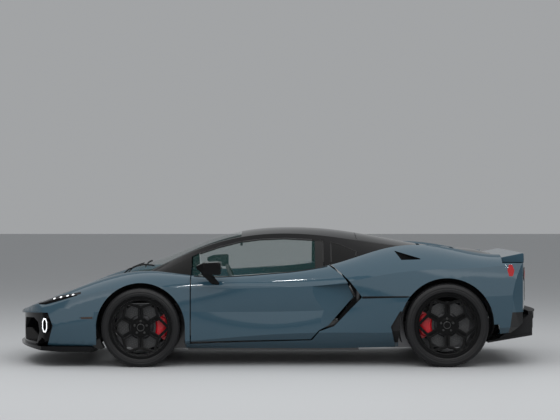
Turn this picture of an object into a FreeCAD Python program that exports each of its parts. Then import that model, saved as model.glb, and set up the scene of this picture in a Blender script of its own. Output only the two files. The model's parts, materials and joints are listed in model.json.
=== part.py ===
"""A mid-engined two-seat supercar, as separate panels, glasses, wheels and running gear.

Millimetres. +X is forward, +Y is the car's left and +Z is up. The origin is on the ground, in the middle of
the length and width. Body shape: two lofts through cross-sections of lines and arcs, the lower body and the
greenhouse, made once at the outside and once per wall thickness inside. Each panel is the wall between two of
them, inside its own outline.
"""

import FreeCAD, Part
import math
import os

os.makedirs("parts", exist_ok=True)

V = FreeCAD.Vector

# ---------------------------------------------------------------- driving dimensions
LENGTH = 4706.0
WIDTH = 1996.0
HEIGHT = 1201.0

FRONT_TYRE_RADIUS = 343.3
REAR_TYRE_RADIUS = 364.2
FRONT_TYRE_WIDTH = 255.0
REAR_TYRE_WIDTH = 325.0
FRONT_RIM_RADIUS = 254.0
REAR_RIM_RADIUS = 266.7
FRONT_ARCH_GAP = 42.0
REAR_ARCH_GAP = 44.0
FRONT_WHEEL_INSET = 10.0
REAR_WHEEL_INSET = 1.0

PANEL_WALL = 25.0
DOOR_WALL = 90.0
ROOF_WALL = 35.0
SILL_WALL = 60.0
GLASS = 6.0
SHUT_GAP = 6.0
DOOR_GAP = 9.0
RUNNING_GAP = 0.3
SWING_TAPER = 0.1
GROUND_CLEARANCE = 124.0

# Panels, lamps and trim.
LINER_WALL = 8.0
GROOVE_DEPTH = 12.0
MARKER_DEPTH = 8.0
SPLITTER_TOP = 178.0
SPLITTER_THICK = 50.0
FIN_THICK = 12.0
PIPE_RADIUS = 92.0
PIPE_HEIGHT = 640.0
PIPE_WALL = 5.0
RUNNING_LAMP_WIDTH = 84.0
RUNNING_LAMP_HEIGHT = 122.0
RUNNING_LAMP_BAND = 13.0
RUNNING_LAMP_DEPTH = 14.0

# Cabin tub and subframes.
BULKHEAD = 25.0
TRAY_WALL = 8.0
WELL_INNER = 396.5
WELL_OUTER = 400.0
REAR_WELL_GAP = 3.0
STEERING_REACH = 165.0
STEERING_RADIUS = 172.0
STEERING_RIM = 16.0

# Suspension and drive.
ARM_RADIUS = 13.0
ARM_SPREAD = 150.0
EYE_RADIUS = 28.0
EYE_THICK = 22.0
PIN_RADIUS = 12.0
BALL_RISE = 150.0
ARM_ROOM = 36.0
INNER_WALL = 4.0
SHAFT_RADIUS = 15.0
BOOT_RADIUS = 46.0
BOOT_LENGTH = 70.0
SHAFT_HOLE = 62.0
GEARBOX_HALF = 150.0

# Wheels and brakes.
RIM_SET_BACK = 8.0
FLANGE_RISE = 16.0
BARREL_WALL = 11.0
HUB_DEPTH = 90.0
HUB_RADIUS = 78.0
BORE_RADIUS = 33.0
FACE_DISH = 34.0
CAP_THICK = 7.0
POCKET_DEPTH = 8.0
DISC_RADIUS = 200.0
DISC_THICK = 34.0
DISC_INNER = 108.0
CALIPER_SWEEP = 30.0
PIN_SET_IN = 90.0
UPRIGHT_BACK = 112.0

# The section tables are drawn for these overall sizes; X(), Y() and Z() stretch them to the ones above.
DRAWN_LENGTH = 4706.0
DRAWN_WIDTH = 1996.0
DRAWN_HEIGHT = 1201.0


def X(x):
    return x * LENGTH / DRAWN_LENGTH


def Y(y):
    return y * WIDTH / DRAWN_WIDTH


def Z(z):
    rise = (HEIGHT - GROUND_CLEARANCE) / (DRAWN_HEIGHT - GROUND_CLEARANCE)
    return GROUND_CLEARANCE + (z - GROUND_CLEARANCE) * rise


FRONT_AXLE = X(1193.0)
REAR_AXLE = X(-1465.0)
FRONT_HUB = (FRONT_AXLE, FRONT_TYRE_RADIUS)
REAR_HUB = (REAR_AXLE, REAR_TYRE_RADIUS)
FRONT_ARCH = FRONT_TYRE_RADIUS + FRONT_ARCH_GAP
REAR_ARCH = REAR_TYRE_RADIUS + REAR_ARCH_GAP
REAR_WELL = REAR_ARCH + REAR_WELL_GAP

NOSE = X(2352.0)
TAIL = X(-2232.0)
REAR_END = X(-2353.0)
DUCT_BACK = X(2068.0)
PIPE_START = X(-2080.0)
PIPE_END = X(-2262.0)
FAR = 1200.0
HIGH = 2000.0
FAR_END = 3000.0
SPOILER_HALF = Y(800.0)
DOOR_INNER = Y(745.0)

TUB_FRONT = X(1000.0)
REAR_BULKHEAD = X(-708.0)
FLOOR_TOP = Z(165.0)
FLOOR_LOW = Z(130.0)
SILL_TOP = Z(400.0)
FOOTWELL_HALF = Y(545.0)
SILL_INNER = Y(660.0)
SUBFRAME_OUTER = Y(470.0)
SUBFRAME_INNER = Y(430.0)
DASH_FACE = X(560.0)
TUB_HALF = Y(735.0)
TRAY_BACK = X(1450.0)
TRAY_FRONT = X(2050.0)
TRAY_HALF = Y(520.0)
TRAY_LOW = Z(290.0)
SUBFRAME_TAIL = X(-1780.0)
LINER_LOW = Z(200.0)
HOUSE_LOW = Z(500.0)
HOUSE_HIGH = Z(1300.0)
SCOOP_LOW = Z(300.0)
SCOOP_HIGH = Z(730.0)
BONNET_LOW = Z(430.0)
BONNET_HIGH = Z(900.0)
REAR_LINER_INNER = Y(560.0)

# ---------------------------------------------------------------- body sections
# Lower body. Each row is one cross-section, from nose to tail, with the left half's corners as (y, z):
#  x      floor edge    sill crease   waist         shoulder      wing peak     valley        centre
BODY = [
    (2420, (640, 150), (820, 190), (850, 300), (800, 400), (640, 425), (560, 418), 428),
    (2200, (700, 150), (870, 190), (900, 330), (860, 460), (680, 505), (590, 500), 508),
    (1800, (760, 150), (930, 190), (962, 380), (925, 590), (720, 662), (600, 638), 640),
    (1193, (780, 150), (955, 200), (986, 480), (955, 700), (740, 826), (610, 782), 786),
    (720, (780, 150), (945, 230), (955, 480), (950, 680), (845, 788), (640, 776), 790),
    (100, (780, 150), (944, 280), (930, 480), (958, 690), (852, 806), (640, 800), 810),
    (-500, (780, 150), (952, 300), (955, 500), (975, 725), (815, 893), (640, 860), 870),
    (-1000, (780, 160), (958, 300), (992, 560), (972, 815), (720, 1036), (600, 1000), 985),
    (-1465, (770, 170), (955, 320), (997, 600), (960, 850), (690, 1036), (580, 990), 975),
    (-1950, (740, 210), (930, 340), (972, 620), (925, 880), (670, 972), (560, 930), 918),
    (-2300, (700, 260), (880, 380), (915, 620), (870, 860), (640, 940), (540, 905), 900),
]
# How far each strip of the side bows out of its chord, from the floor edge up to the wing peak.
BODY_BOW = [8.0, 5.0, 6.0, 26.0, 3.0]

# Greenhouse, from the foot of the windscreen to the end of the engine cover:
#  x      base          roof rail     centre
HOUSE = [
    (1480, (800, 640), (650, 680), 712),
    (1120, (800, 700), (640, 824), 896),
    (700, (880, 700), (596, 1016), 1060),
    (340, (890, 700), (572, 1118), 1164),
    (-62, (890, 720), (556, 1152), 1201),
    (-400, (880, 740), (546, 1132), 1190),
    (-756, (860, 760), (530, 1082), 1143),
    (-1127, (800, 780), (505, 1032), 1074),
    (-1600, (740, 780), (480, 982), 1014),
    (-1960, (700, 780), (460, 938), 958),
]
HOUSE_BOW = 22.0


def polygon(points, normal_axis):
    """A flat face through 2D points: (x, z) for axis y, (x, y) for axis z, (y, z) for axis x."""
    place = {
        "y": lambda p: V(p[0], 0, p[1]),
        "z": lambda p: V(p[0], p[1], 0),
        "x": lambda p: V(0, p[0], p[1]),
    }[normal_axis]
    corners = [place(p) for p in points]
    return Part.Face(Part.makePolygon(corners + corners[:1]))


def side_prism(points, low, high):
    """An outline seen from the side, (x, z), carried across the car from y = low to y = high."""
    return polygon(points, "y").extrude(V(0, high - low, 0)).translated(V(0, low, 0))


def plan_prism(points, low, high):
    """An outline seen from above, (x, y), carried up from z = low to z = high."""
    return polygon(points, "z").extrude(V(0, 0, high - low)).translated(V(0, 0, low))


def front_prism(points, low, high):
    """An outline seen from the front, (y, z), carried along the car from x = low to x = high."""
    return polygon(points, "x").extrude(V(high - low, 0, 0)).translated(V(low, 0, 0))


def box(low, high):
    return Part.makeBox(high[0] - low[0], high[1] - low[1], high[2] - low[2], V(*low))


def across(radius, x, z, low, high):
    """A cylinder along Y."""
    return Part.makeCylinder(radius, high - low, V(x, low, z), V(0, 1, 0))


def mirrored(shape):
    return shape.mirror(V(0, 0, 0), V(0, 1, 0))


def fused(shapes):
    return shapes[0].multiFuse(shapes[1:]) if len(shapes) > 1 else shapes[0]


def pair(shape):
    """The left piece and its mirror image on the right."""
    return Part.makeCompound([shape, mirrored(shape)])


def save(name, shape):
    solids = [s for s in shape.Solids if s.Volume > 100.0]
    solid = solids[0] if len(solids) == 1 else Part.makeCompound(solids)
    solid.exportStep("parts/" + name + ".step")
    print(name, len(solids), "solids", round(solid.Volume / 1e6, 2), "litres", solid.isValid())


def inset(points, wall):
    """The corners of an open chain, moved square to the chain by the wall, towards its right hand."""
    moved = []
    for i, p in enumerate(points):
        before = points[max(i - 1, 0)]
        after = points[min(i + 1, len(points) - 1)]
        dy, dz = after[0] - before[0], after[1] - before[1]
        size = math.hypot(dy, dz)
        moved.append((p[0] - wall * dz / size, p[1] + wall * dy / size))
    return moved


def bowed(a, b, bow):
    """An arc from a to b that stands out of its chord by bow, towards the chord's right hand."""
    dy, dz = b.y - a.y, b.z - a.z
    size = math.hypot(dy, dz)
    middle = V(a.x, (a.y + b.y) / 2 + bow * dz / size, (a.z + b.z) / 2 - bow * dy / size)
    return Part.Arc(a, middle, b).toShape()


def closed_section(x, chain, top, bows):
    """A closed cross-section at x: the floor, up the left side, over the top and down the right side."""
    left = [V(x, y, z) for y, z in chain]
    right = [V(x, -y, z) for y, z in chain]
    edges = [Part.LineSegment(right[0], left[0]).toShape()]
    for i, bow in enumerate(bows):
        edges.append(bowed(left[i], left[i + 1], bow))
    edges.append(Part.Arc(left[-1], V(x, 0, top), right[-1]).toShape())
    for i, bow in reversed(list(enumerate(bows))):
        edges.append(bowed(right[i + 1], right[i], bow))
    return Part.Wire(edges)


def lower_body(wall):
    """The lower body as one solid, its surface moved in by wall."""
    wires = []
    for x, *corners, centre in BODY:
        chain = inset([(Y(y), Z(z)) for y, z in corners], wall)
        wires.append(closed_section(X(x), chain, Z(centre) - wall, BODY_BOW))
    return Part.makeLoft(wires, True, False)


def greenhouse(wall):
    wires = []
    for x, base, rail, centre in HOUSE:
        chain = inset([(Y(base[0]), Z(base[1])), (Y(rail[0]), Z(rail[1]))], wall)
        wires.append(closed_section(X(x), chain, Z(centre) - wall, [HOUSE_BOW]))
    return Part.makeLoft(wires, True, False)


def plan_outline(wall):
    """The body's outline from above, carried up: the nose and the tail are curved walls."""
    nose = NOSE - wall
    tail = TAIL + wall
    nose_corner = (X(2040.0) - 0.5 * wall, Y(915.0) - 0.9 * wall)
    tail_corner = (X(-2130.0) + 0.5 * wall, Y(895.0) - 0.9 * wall)
    side = Y(1060.0)
    nose_side = X(1650.0)
    tail_side = X(-1900.0)
    points = {
        "nose": [V(nose_corner[0], nose_corner[1], 0), V(nose, 0, 0), V(nose_corner[0], -nose_corner[1], 0)],
        "tail": [V(tail_corner[0], -tail_corner[1], 0), V(tail, 0, 0), V(tail_corner[0], tail_corner[1], 0)],
    }
    chain_right = [points["nose"][2], V(nose_side, -side, 0), V(tail_side, -side, 0), points["tail"][0]]
    chain_left = [points["tail"][2], V(tail_side, side, 0), V(nose_side, side, 0), points["nose"][0]]
    edges = [Part.Arc(*points["nose"]).toShape()]
    edges += [Part.LineSegment(a, b).toShape() for a, b in zip(chain_right, chain_right[1:])]
    edges.append(Part.Arc(*points["tail"]).toShape())
    edges += [Part.LineSegment(a, b).toShape() for a, b in zip(chain_left, chain_left[1:])]
    return Part.Face(Part.Wire(edges)).extrude(V(0, 0, 2 * HEIGHT))


def outline_body(wall):
    return lower_body(wall).common(plan_outline(wall))


OUTER = outline_body(0.0)
SKIN = OUTER.cut(outline_body(PANEL_WALL))
HOUSE_OUTER = greenhouse(0.0)
HOUSE_SKIN = HOUSE_OUTER.cut(greenhouse(ROOF_WALL)).cut(OUTER)
GLASS_SKIN = HOUSE_OUTER.cut(greenhouse(GLASS)).cut(OUTER)

def drawn_side(points):
    return [(X(x), Z(z)) for x, z in points]


def drawn_plan(points):
    return [(X(x), Y(y)) for x, y in points]


def symmetric_plan(points):
    left = drawn_plan(points)
    return left + [(x, -y) for x, y in reversed(left)]


def arch(axle_x, hub_z, radius):
    """What a wheel arch takes out of a side panel: a round opening, with parallel sides below the hub."""
    opening = across(radius, axle_x, hub_z, 0, FAR)
    return opening.fuse(box((axle_x - radius, 0, 0), (axle_x + radius, FAR, hub_z)))


ARCHES = [arch(*FRONT_HUB, FRONT_ARCH), arch(*REAR_HUB, REAR_ARCH)]

# ---------------------------------------------------------------- outlines of the panels, from the side
DOOR_OUTLINE = drawn_side([(757, 207), (757, 1000), (-449, 1000), (-449, 885), (-563, 790), (-606, 728),
                           (-662, 608), (-440, 363), (-352, 318), (-290, 237)])
INTAKE_LIP = drawn_side([(767, 198), (767, 1000), (-449, 1000), (-449, 885), (-563, 790), (-622, 730),
                         (-716, 608), (-480, 363), (-352, 318), (-290, 237)])
SCOOP_PLAN = drawn_plan([(-300, 1100), (-300, 968), (-700, 885), (-700, 1100)])
SCOOP_SIDE = drawn_side([(-300, 520), (-300, 702), (-620, 730), (-730, 610), (-480, 330), (-380, 360)])
SKIRT_OUTLINE = drawn_side([(1193, 60), (1193, 198), (757, 198), (-290, 228), (-1465, 240), (-1465, 60)])
BUMPER_LINE = drawn_side([(2500, 60), (1193, 60), (1193, 470), (1650, 482), (2130, 545), (2208, 700),
                          (2500, 700)])
WINDOW_TOP = [(1010, 826), (871, 900), (693, 980), (516, 1038), (339, 1082), (161, 1104), (-60, 1113)]
FRONT_WINDOW = drawn_side([(1010, 600)] + WINDOW_TOP + [(-404, 1095), (-404, 600)])
REAR_WINDOW = drawn_side([(-458, 600), (-458, 1086), (-548, 1060), (-699, 998), (-690, 600)])
DOOR_GLASS_FRONT = X(751.0)
WINDSCREEN = symmetric_plan([(1434, 652), (1120, 614), (700, 570), (330, 546)])
COVER = symmetric_plan([(-700, 512), (-1127, 488), (-1600, 463), (-1925, 442)])
BLADE_END = drawn_side([(-1950, 1100), (-1950, 900), (-2110, 900), (-2066, 760), (-2010, 290), (-1936, 282),
                        (-1915, 370), (-1465, 370), (-700, 150), (-100, 150), (-100, 1100)])
REAR_BUMPER_OUTLINE = drawn_side([(-2110, 900), (-2066, 760), (-2010, 290), (-2030, 290), (-2190, 440),
                                  (-2200, 474), (-2400, 474), (-2400, 900)])
SPOILER_OUTLINE = drawn_side([(-1950, 946), (-2139, 984), (-2251, 966), (-2240, 900.3), (-1950, 900.3)])
LAMP_OUTLINE = drawn_side([(2118, 545), (2060, 574), (1960, 602), (1716, 650), (1716, 632), (1900, 588),
                           (2010, 550)])
MARKER_OUTLINE = drawn_side([(1602, 416), (1602, 440), (1715, 436), (1722, 424), (1706, 414)])
SHOULDER_INTAKE = drawn_side([(-1016, 1006), (-1073, 927), (-1238, 932), (-1238, 940)])
CREASE_GROOVE = drawn_side([(-690, 600), (-690, 610), (-1200, 616), (-1200, 606)])
WHEEL_VENT = drawn_side([(-1054, 486), (-976, 351), (-1040, 120), (-1300, 120), (-1300, 486)])
TAIL_LAMP = drawn_side([(-1990, 838), (-2004, 888), (-2034, 888), (-2052, 838), (-2038, 788), (-2004, 788)])
COVER_SLOT_ROWS = [(-1290, 300), (-1395, 290), (-1500, 280), (-1605, 270)]
COVER_SLOTS = [(X(x), X(x + 34), Y(half)) for x, half in COVER_SLOT_ROWS]

# The diffuser, from the side and from above.
DIFFUSER_FLOOR = [(-1845, 195), (-2235, 262), (-2235, 278), (-1845, 211)]
DIFFUSER_FIN = [(-1900, 205), (-2235, 264), (-2290, 336), (-2353, 430), (-2353, 452), (-2290, 458),
                (-2200, 440), (-2060, 318)]
DIFFUSER_BEAM = [(-2200, 430), (-2353, 436), (-2353, 452), (-2250, 473.7), (-2200, 473.7)]
DIFFUSER_PLAN = [(-1800, 800), (-2232, 762), (-2305, 340), (-2353, 110)]
DIFFUSER_HALF = Y(760.0)
FIN_PLACES = [Y(y) for y in (-742.0, -520.0, -260.0, 260.0, 520.0, 742.0)]

# The mouth in the nose: how far back it reaches at each height, and its top and bottom across the car.
MOUTH_SIDE = drawn_side([(2500, 90), (2005, 90), (2005, 184), (1957, 358), (2005, 474), (2005, 540),
                         (2500, 540)])
MOUTH_TOP = [(1000, 474), (900, 470), (0, 414), (-900, 470), (-1000, 474)]
# The openings in the black panel behind the mouth, as (y, z): one in the middle and one at each corner.
MIDDLE_GRILLE = [(240, 212), (285, 300), (240, 378), (-240, 378), (-285, 300), (-240, 212)]
CORNER_GRILLE = [(390, 200), (350, 300), (400, 398), (690, 414), (775, 380), (800, 300), (760, 205)]


def left_side(shape):
    return shape.common(box((-FAR_END, 0, 0), (FAR_END, FAR, HIGH)))


def skin_groove(outline, depth, low):
    """A shallow recess of the left skin inside a side outline."""
    return side_prism(outline, low, FAR).cut(lower_body(depth))


def grown(points, gap):
    """An outline moved out by the gap, square to each of its sides, whichever way round it is drawn."""
    count = len(points)
    area = sum(points[i - 1][0] * points[i][1] - points[i][0] * points[i - 1][1] for i in range(count))
    turn = math.copysign(1.0, area)
    moved = []
    for i, p in enumerate(points):
        before, after = points[i - 1], points[(i + 1) % count]
        ax, ay = p[0] - before[0], p[1] - before[1]
        bx, by = after[0] - p[0], after[1] - p[1]
        la, lb = math.hypot(ax, ay), math.hypot(bx, by)
        na, nb = (turn * ay / la, -turn * ax / la), (turn * by / lb, -turn * bx / lb)
        share = gap / (1 + na[0] * nb[0] + na[1] * nb[1])
        moved.append((p[0] + share * (na[0] + nb[0]), p[1] + share * (na[1] + nb[1])))
    return moved


def swing_room(points, skin_y):
    """The door's outline drawn in towards the hinge with depth, so its rear edge swings clear."""
    far_front = X(1400.0)
    middle = sum(x for x, _ in points) / len(points)
    pulled = [(far_front if x > middle else x, z) for x, z in points]
    depth = skin_y - DOOR_INNER + 60.0
    face = polygon([(x + SWING_TAPER * depth, z) for x, z in pulled], "y").translated(V(0, skin_y - depth, 0))
    reach = depth + 200.0
    return face.extrude(V(-SWING_TAPER * reach, reach, 0))


# ---------------------------------------------------------------- body panels
def panels():
    bonnet_plan = symmetric_plan([(1450, 612), (2200, 585)])
    bonnet = SKIN.common(plan_prism(bonnet_plan, BONNET_LOW, BONNET_HIGH))
    save("bonnet", bonnet)
    around_bonnet = plan_prism(grown(bonnet_plan, SHUT_GAP), BONNET_LOW, BONNET_HIGH)
    cowl_plan = symmetric_plan([(1100, 625), (1443, 625)])
    cowl_block = plan_prism(cowl_plan, Z(600), Z(900))
    bumper_block = side_prism(BUMPER_LINE, -FAR, FAR)
    skirt_block = side_prism(SKIRT_OUTLINE, 0, FAR)
    cuts = [ARCHES[0], mirrored(ARCHES[0])]
    bumper = SKIN.common(bumper_block).cut(around_bonnet)
    bumper = bumper.cut(fused(cuts))
    marker = skin_groove(MARKER_OUTLINE, MARKER_DEPTH, Y(800))
    trimmed = [mouth(0.0), lamp_block(), mirrored(lamp_block()), marker, mirrored(marker)]
    save("front_bumper", bumper.cut(fused(trimmed)))
    save("cowl_panel", SKIN.common(cowl_block).cut(HOUSE_OUTER))

    side = left_side(SKIN)
    fender_block = side_prism(drawn_side([(767, 199), (767, 1000), (2215, 1000), (2215, 199)]), Y(625), FAR)
    beside_bonnet = drawn_side([(1443, 500), (1443, 1000), (2215, 1000), (2215, 500)])
    fender_block = fender_block.fuse(side_prism(beside_bonnet, Y(500), FAR))
    fender = side.common(fender_block).cut(fused([bumper_block, around_bonnet, ARCHES[0], skirt_block]))
    fender = fender.cut(HOUSE_OUTER)
    save("front_fenders", pair(fender.cut(lamp_block())))
    lamps = pair(side.common(lamp_block())).Solids + pair(running_lamp()).Solids
    save("headlamps", Part.makeCompound(lamps))

    sill = left_side(OUTER.cut(lower_body(SILL_WALL))).common(skirt_block)
    vent = side_prism(WHEEL_VENT, Y(740), FAR)
    outboard = box((-FAR_END, TUB_HALF + RUNNING_GAP, 0), (FAR_END, FAR, HIGH))
    sill = sill.common(outboard).cut(fused(ARCHES + [vent]))
    save("side_skirts", pair(sill))

    door = left_side(OUTER.cut(lower_body(DOOR_WALL))).common(side_prism(DOOR_OUTLINE, DOOR_INNER, FAR))
    door = door.common(swing_room(DOOR_OUTLINE, Y(975)))
    door = door.cut(plan_prism(SCOOP_PLAN, SCOOP_LOW, SCOOP_HIGH).common(side_prism(SCOOP_SIDE, 0, FAR)))
    glass_area = side_prism(grown(FRONT_WINDOW, -SHUT_GAP), 0, FAR)
    door_glass = left_side(GLASS_SKIN).common(glass_area)
    door_glass = door_glass.common(box((-FAR_END, 0, 0), (DOOR_GLASS_FRONT, FAR, HIGH)))
    for name, turn in (("left", lambda s: s), ("right", mirrored)):
        save("door_" + name, turn(door))
        save("door_glass_" + name, turn(door_glass))

    quarter = side.common(side_prism(BLADE_END, Y(440), FAR))
    quarter = quarter.cut(fused([side_prism(grown(INTAKE_LIP, DOOR_GAP), 0, FAR), skirt_block, ARCHES[1]]))
    quarter = quarter.cut(HOUSE_OUTER)
    shoulder_intake = side_prism(SHOULDER_INTAKE, Y(640), FAR)
    groove = skin_groove(CREASE_GROOVE, GROOVE_DEPTH, Y(800))
    save("rear_quarters", pair(quarter.cut(fused([shoulder_intake, groove, vent, tail_lamp_block()]))))
    save("tail_lamps", pair(side.common(tail_lamp_block(-RUNNING_GAP))))
    rear_bumper = SKIN.common(side_prism(REAR_BUMPER_OUTLINE, -FAR, FAR))
    lamps = [tail_lamp_block(), mirrored(tail_lamp_block())]
    save("rear_bumper", rear_bumper.cut(fused(lamps + [pipe_outline(RUNNING_GAP)])))
    spoiler = side_prism(SPOILER_OUTLINE, -SPOILER_HALF, SPOILER_HALF)
    save("spoiler", spoiler.common(plan_outline(0.0)))

    header_roof = HOUSE_SKIN.cut(fused([plan_prism(WINDSCREEN, HOUSE_LOW, HOUSE_HIGH),
                                        plan_prism(cover_hole(), HOUSE_LOW, HOUSE_HIGH)]))
    windows = [side_prism(FRONT_WINDOW, 0, FAR), side_prism(REAR_WINDOW, 0, FAR)]
    header_roof = header_roof.cut(fused(windows + [mirrored(w) for w in windows]))
    above_door = lower_body(-SHUT_GAP).common(side_prism(grown(DOOR_OUTLINE, DOOR_GAP), -FAR, FAR))
    save("roof", header_roof.cut(above_door).common(box((X(-1949.7), -FAR, 0), (X(1380), FAR, HIGH))))
    save("windscreen", GLASS_SKIN.common(plan_prism(WINDSCREEN, HOUSE_LOW, HOUSE_HIGH)))
    front_glass = left_side(GLASS_SKIN).common(side_prism(FRONT_WINDOW, 0, FAR))
    front_glass = front_glass.common(box((DOOR_GLASS_FRONT + 2 * SHUT_GAP, 0, 0), (FAR_END, FAR, HIGH)))
    rear_glass = left_side(GLASS_SKIN).common(side_prism(REAR_WINDOW, 0, FAR))
    save("quarter_glass", Part.makeCompound(pair(front_glass).Solids + pair(rear_glass).Solids))
    slots = [box((low, -half, Z(900)), (high, half, Z(1300))) for low, high, half in COVER_SLOTS]
    save("engine_cover", HOUSE_SKIN.common(plan_prism(COVER, HOUSE_LOW, HOUSE_HIGH)).cut(fused(slots)))


def mouth(grow):
    """What the mouth takes out of the nose, from the ground up to the blade of the nose."""
    front = [(Y(y), Z(z) + grow) for y, z in MOUTH_TOP]
    front += [(-Y(1000), Z(90)), (Y(1000), Z(90))]
    return front_prism(front, X(1900), X(2500)).common(side_prism(grown(MOUTH_SIDE, grow), -FAR, FAR))


def running_lamp():
    """The six-sided ring lamp in the corner of the mouth, standing on the black panel behind it."""
    corner_x, corner_y = X(2040.0), Y(915.0)
    rise = NOSE - corner_x
    radius = (corner_y ** 2 + rise ** 2) / (2 * rise)
    turn = math.asin(corner_y / radius)
    normal = V(math.cos(turn), math.sin(turn), 0)
    tangent = V(-math.sin(turn), math.cos(turn), 0)
    middle = V(NOSE - radius, 0, Z(360)) + normal * (radius - PANEL_WALL)

    def block(inset_by):
        half = RUNNING_LAMP_WIDTH / 2 - inset_by
        tall = RUNNING_LAMP_HEIGHT / 2 - inset_by
        corners = [(half, 0.45 * tall), (0.5 * half, tall), (-0.5 * half, tall), (-half, 0.45 * tall),
                   (-half, -0.45 * tall), (-0.5 * half, -tall), (0.5 * half, -tall), (half, -0.45 * tall)]
        points = [middle - normal * PANEL_WALL + tangent * u + V(0, 0, w) for u, w in corners]
        outline = Part.Face(Part.makePolygon(points + points[:1]))
        return outline.extrude(normal * (PANEL_WALL + RUNNING_LAMP_DEPTH))

    ring = block(0.0).cut(block(RUNNING_LAMP_BAND))
    return ring.cut(outline_body(PANEL_WALL))


def cover_hole():
    return grown(COVER, SHUT_GAP)


def lamp_block():
    """The slit lamp in the leading edge of the wing."""
    return side_prism(LAMP_OUTLINE, Y(640), FAR)


def hexagon(radius, y, z):
    turns = [math.radians(a) for a in range(0, 360, 60)]
    return [(y + radius * math.cos(a), z + radius * math.sin(a)) for a in turns]


def pipe_outline(grow):
    """The six-sided tail pipe's outline, carried along the car, grown outwards by the clearance."""
    return front_prism(hexagon(PIPE_RADIUS + grow, 0, Z(PIPE_HEIGHT)), REAR_END - PIPE_RADIUS, PIPE_START)


def tail_lamp_block(grow=0.0):
    return side_prism(grown(TAIL_LAMP, grow), Y(780), FAR)


# ---------------------------------------------------------------- mirrors, splitter, diffuser, pipe


def mirror_left():
    """A wedge-nosed housing, full at the back, on a flat arm that rises from the door's shoulder."""
    sections = [
        (703, [(1000, 858), (1086, 860), (1086, 882), (1000, 886)]),
        (640, [(982, 806), (1112, 812), (1116, 908), (984, 912)]),
        (508, [(966, 800), (1116, 806), (1123, 912), (972, 922)]),
        (492, [(974, 808), (1108, 814), (1114, 902), (980, 912)]),
    ]
    wires = []
    for x, corners in sections:
        points = [V(X(x), Y(y), Z(z)) for y, z in corners]
        wires.append(Part.makePolygon(points + points[:1]))
    housing = Part.makeLoft(wires, True, True)
    root = [V(X(x), Y(930), Z(z)) for x, z in ((556, 700), (498, 694), (496, 712), (556, 722))]
    tip = [V(X(x), Y(1012), Z(z)) for x, z in ((662, 806), (590, 800), (590, 830), (662, 836))]
    arm = Part.makeLoft([Part.makePolygon(p + p[:1]) for p in (root, tip)], True, True)
    return housing.fuse(arm).cut(OUTER)


def front_splitter():
    """The black lower lip, with the panel behind the mouth and the ducts of its three grilles."""
    arc = Part.Arc(V(X(2060), Y(930), 0), V(-REAR_END, 0, 0), V(X(2060), -Y(930), 0)).toShape()
    corners = [V(X(2060), -Y(930), 0), V(X(1620), -Y(950), 0), V(X(1590), -Y(760), 0), V(X(1590), Y(760), 0),
               V(X(1620), Y(950), 0), V(X(2060), Y(930), 0)]
    edges = [arc] + [Part.LineSegment(a, b).toShape() for a, b in zip(corners, corners[1:])]
    plate = Part.Face(Part.Wire(edges)).extrude(V(0, 0, SPLITTER_THICK))
    plate = plate.translated(V(0, 0, Z(SPLITTER_TOP) - SPLITTER_THICK)).cut(OUTER.cut(mouth(0.0)))
    behind = outline_body(PANEL_WALL + RUNNING_GAP)
    panel = behind.cut(outline_body(PANEL_WALL + LINER_WALL)).common(mouth(2 * LINER_WALL))
    left = [(Y(y), Z(z)) for y, z in CORNER_GRILLE]
    right = [(-y, z) for y, z in left]
    outlines = [[(Y(y), Z(z)) for y, z in MIDDLE_GRILLE], left, right]
    shells = [front_prism(grown(outline, LINER_WALL), DUCT_BACK, X(2500)) for outline in outlines]
    holes = [front_prism(outline, DUCT_BACK + LINER_WALL, X(2500)) for outline in outlines]
    return fused([plate, panel] + [shell.common(behind) for shell in shells]).cut(fused(holes))


def diffuser():
    """A rising floor with six fins that end on a slant, and a beam across their tops, pointed in plan."""
    floor = drawn_side(DIFFUSER_FLOOR)
    plate = side_prism(floor, -DIFFUSER_HALF, DIFFUSER_HALF)
    beam = side_prism(drawn_side(DIFFUSER_BEAM), -FIN_PLACES[-1], FIN_PLACES[-1])
    half = FIN_THICK / 2
    fins = [side_prism(drawn_side(DIFFUSER_FIN), y - half, y + half) for y in FIN_PLACES]
    swept = plan_prism(symmetric_plan(DIFFUSER_PLAN), 0, Z(600))
    return fused([plate, beam] + fins).common(swept)


def exhaust():
    outside = front_prism(hexagon(PIPE_RADIUS, 0, Z(PIPE_HEIGHT)), PIPE_END, PIPE_START)
    inner_end = PIPE_START - 6 * PIPE_WALL
    hole = front_prism(hexagon(PIPE_RADIUS - PIPE_WALL, 0, Z(PIPE_HEIGHT)), PIPE_END, inner_end)
    return outside.cut(hole)


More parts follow.
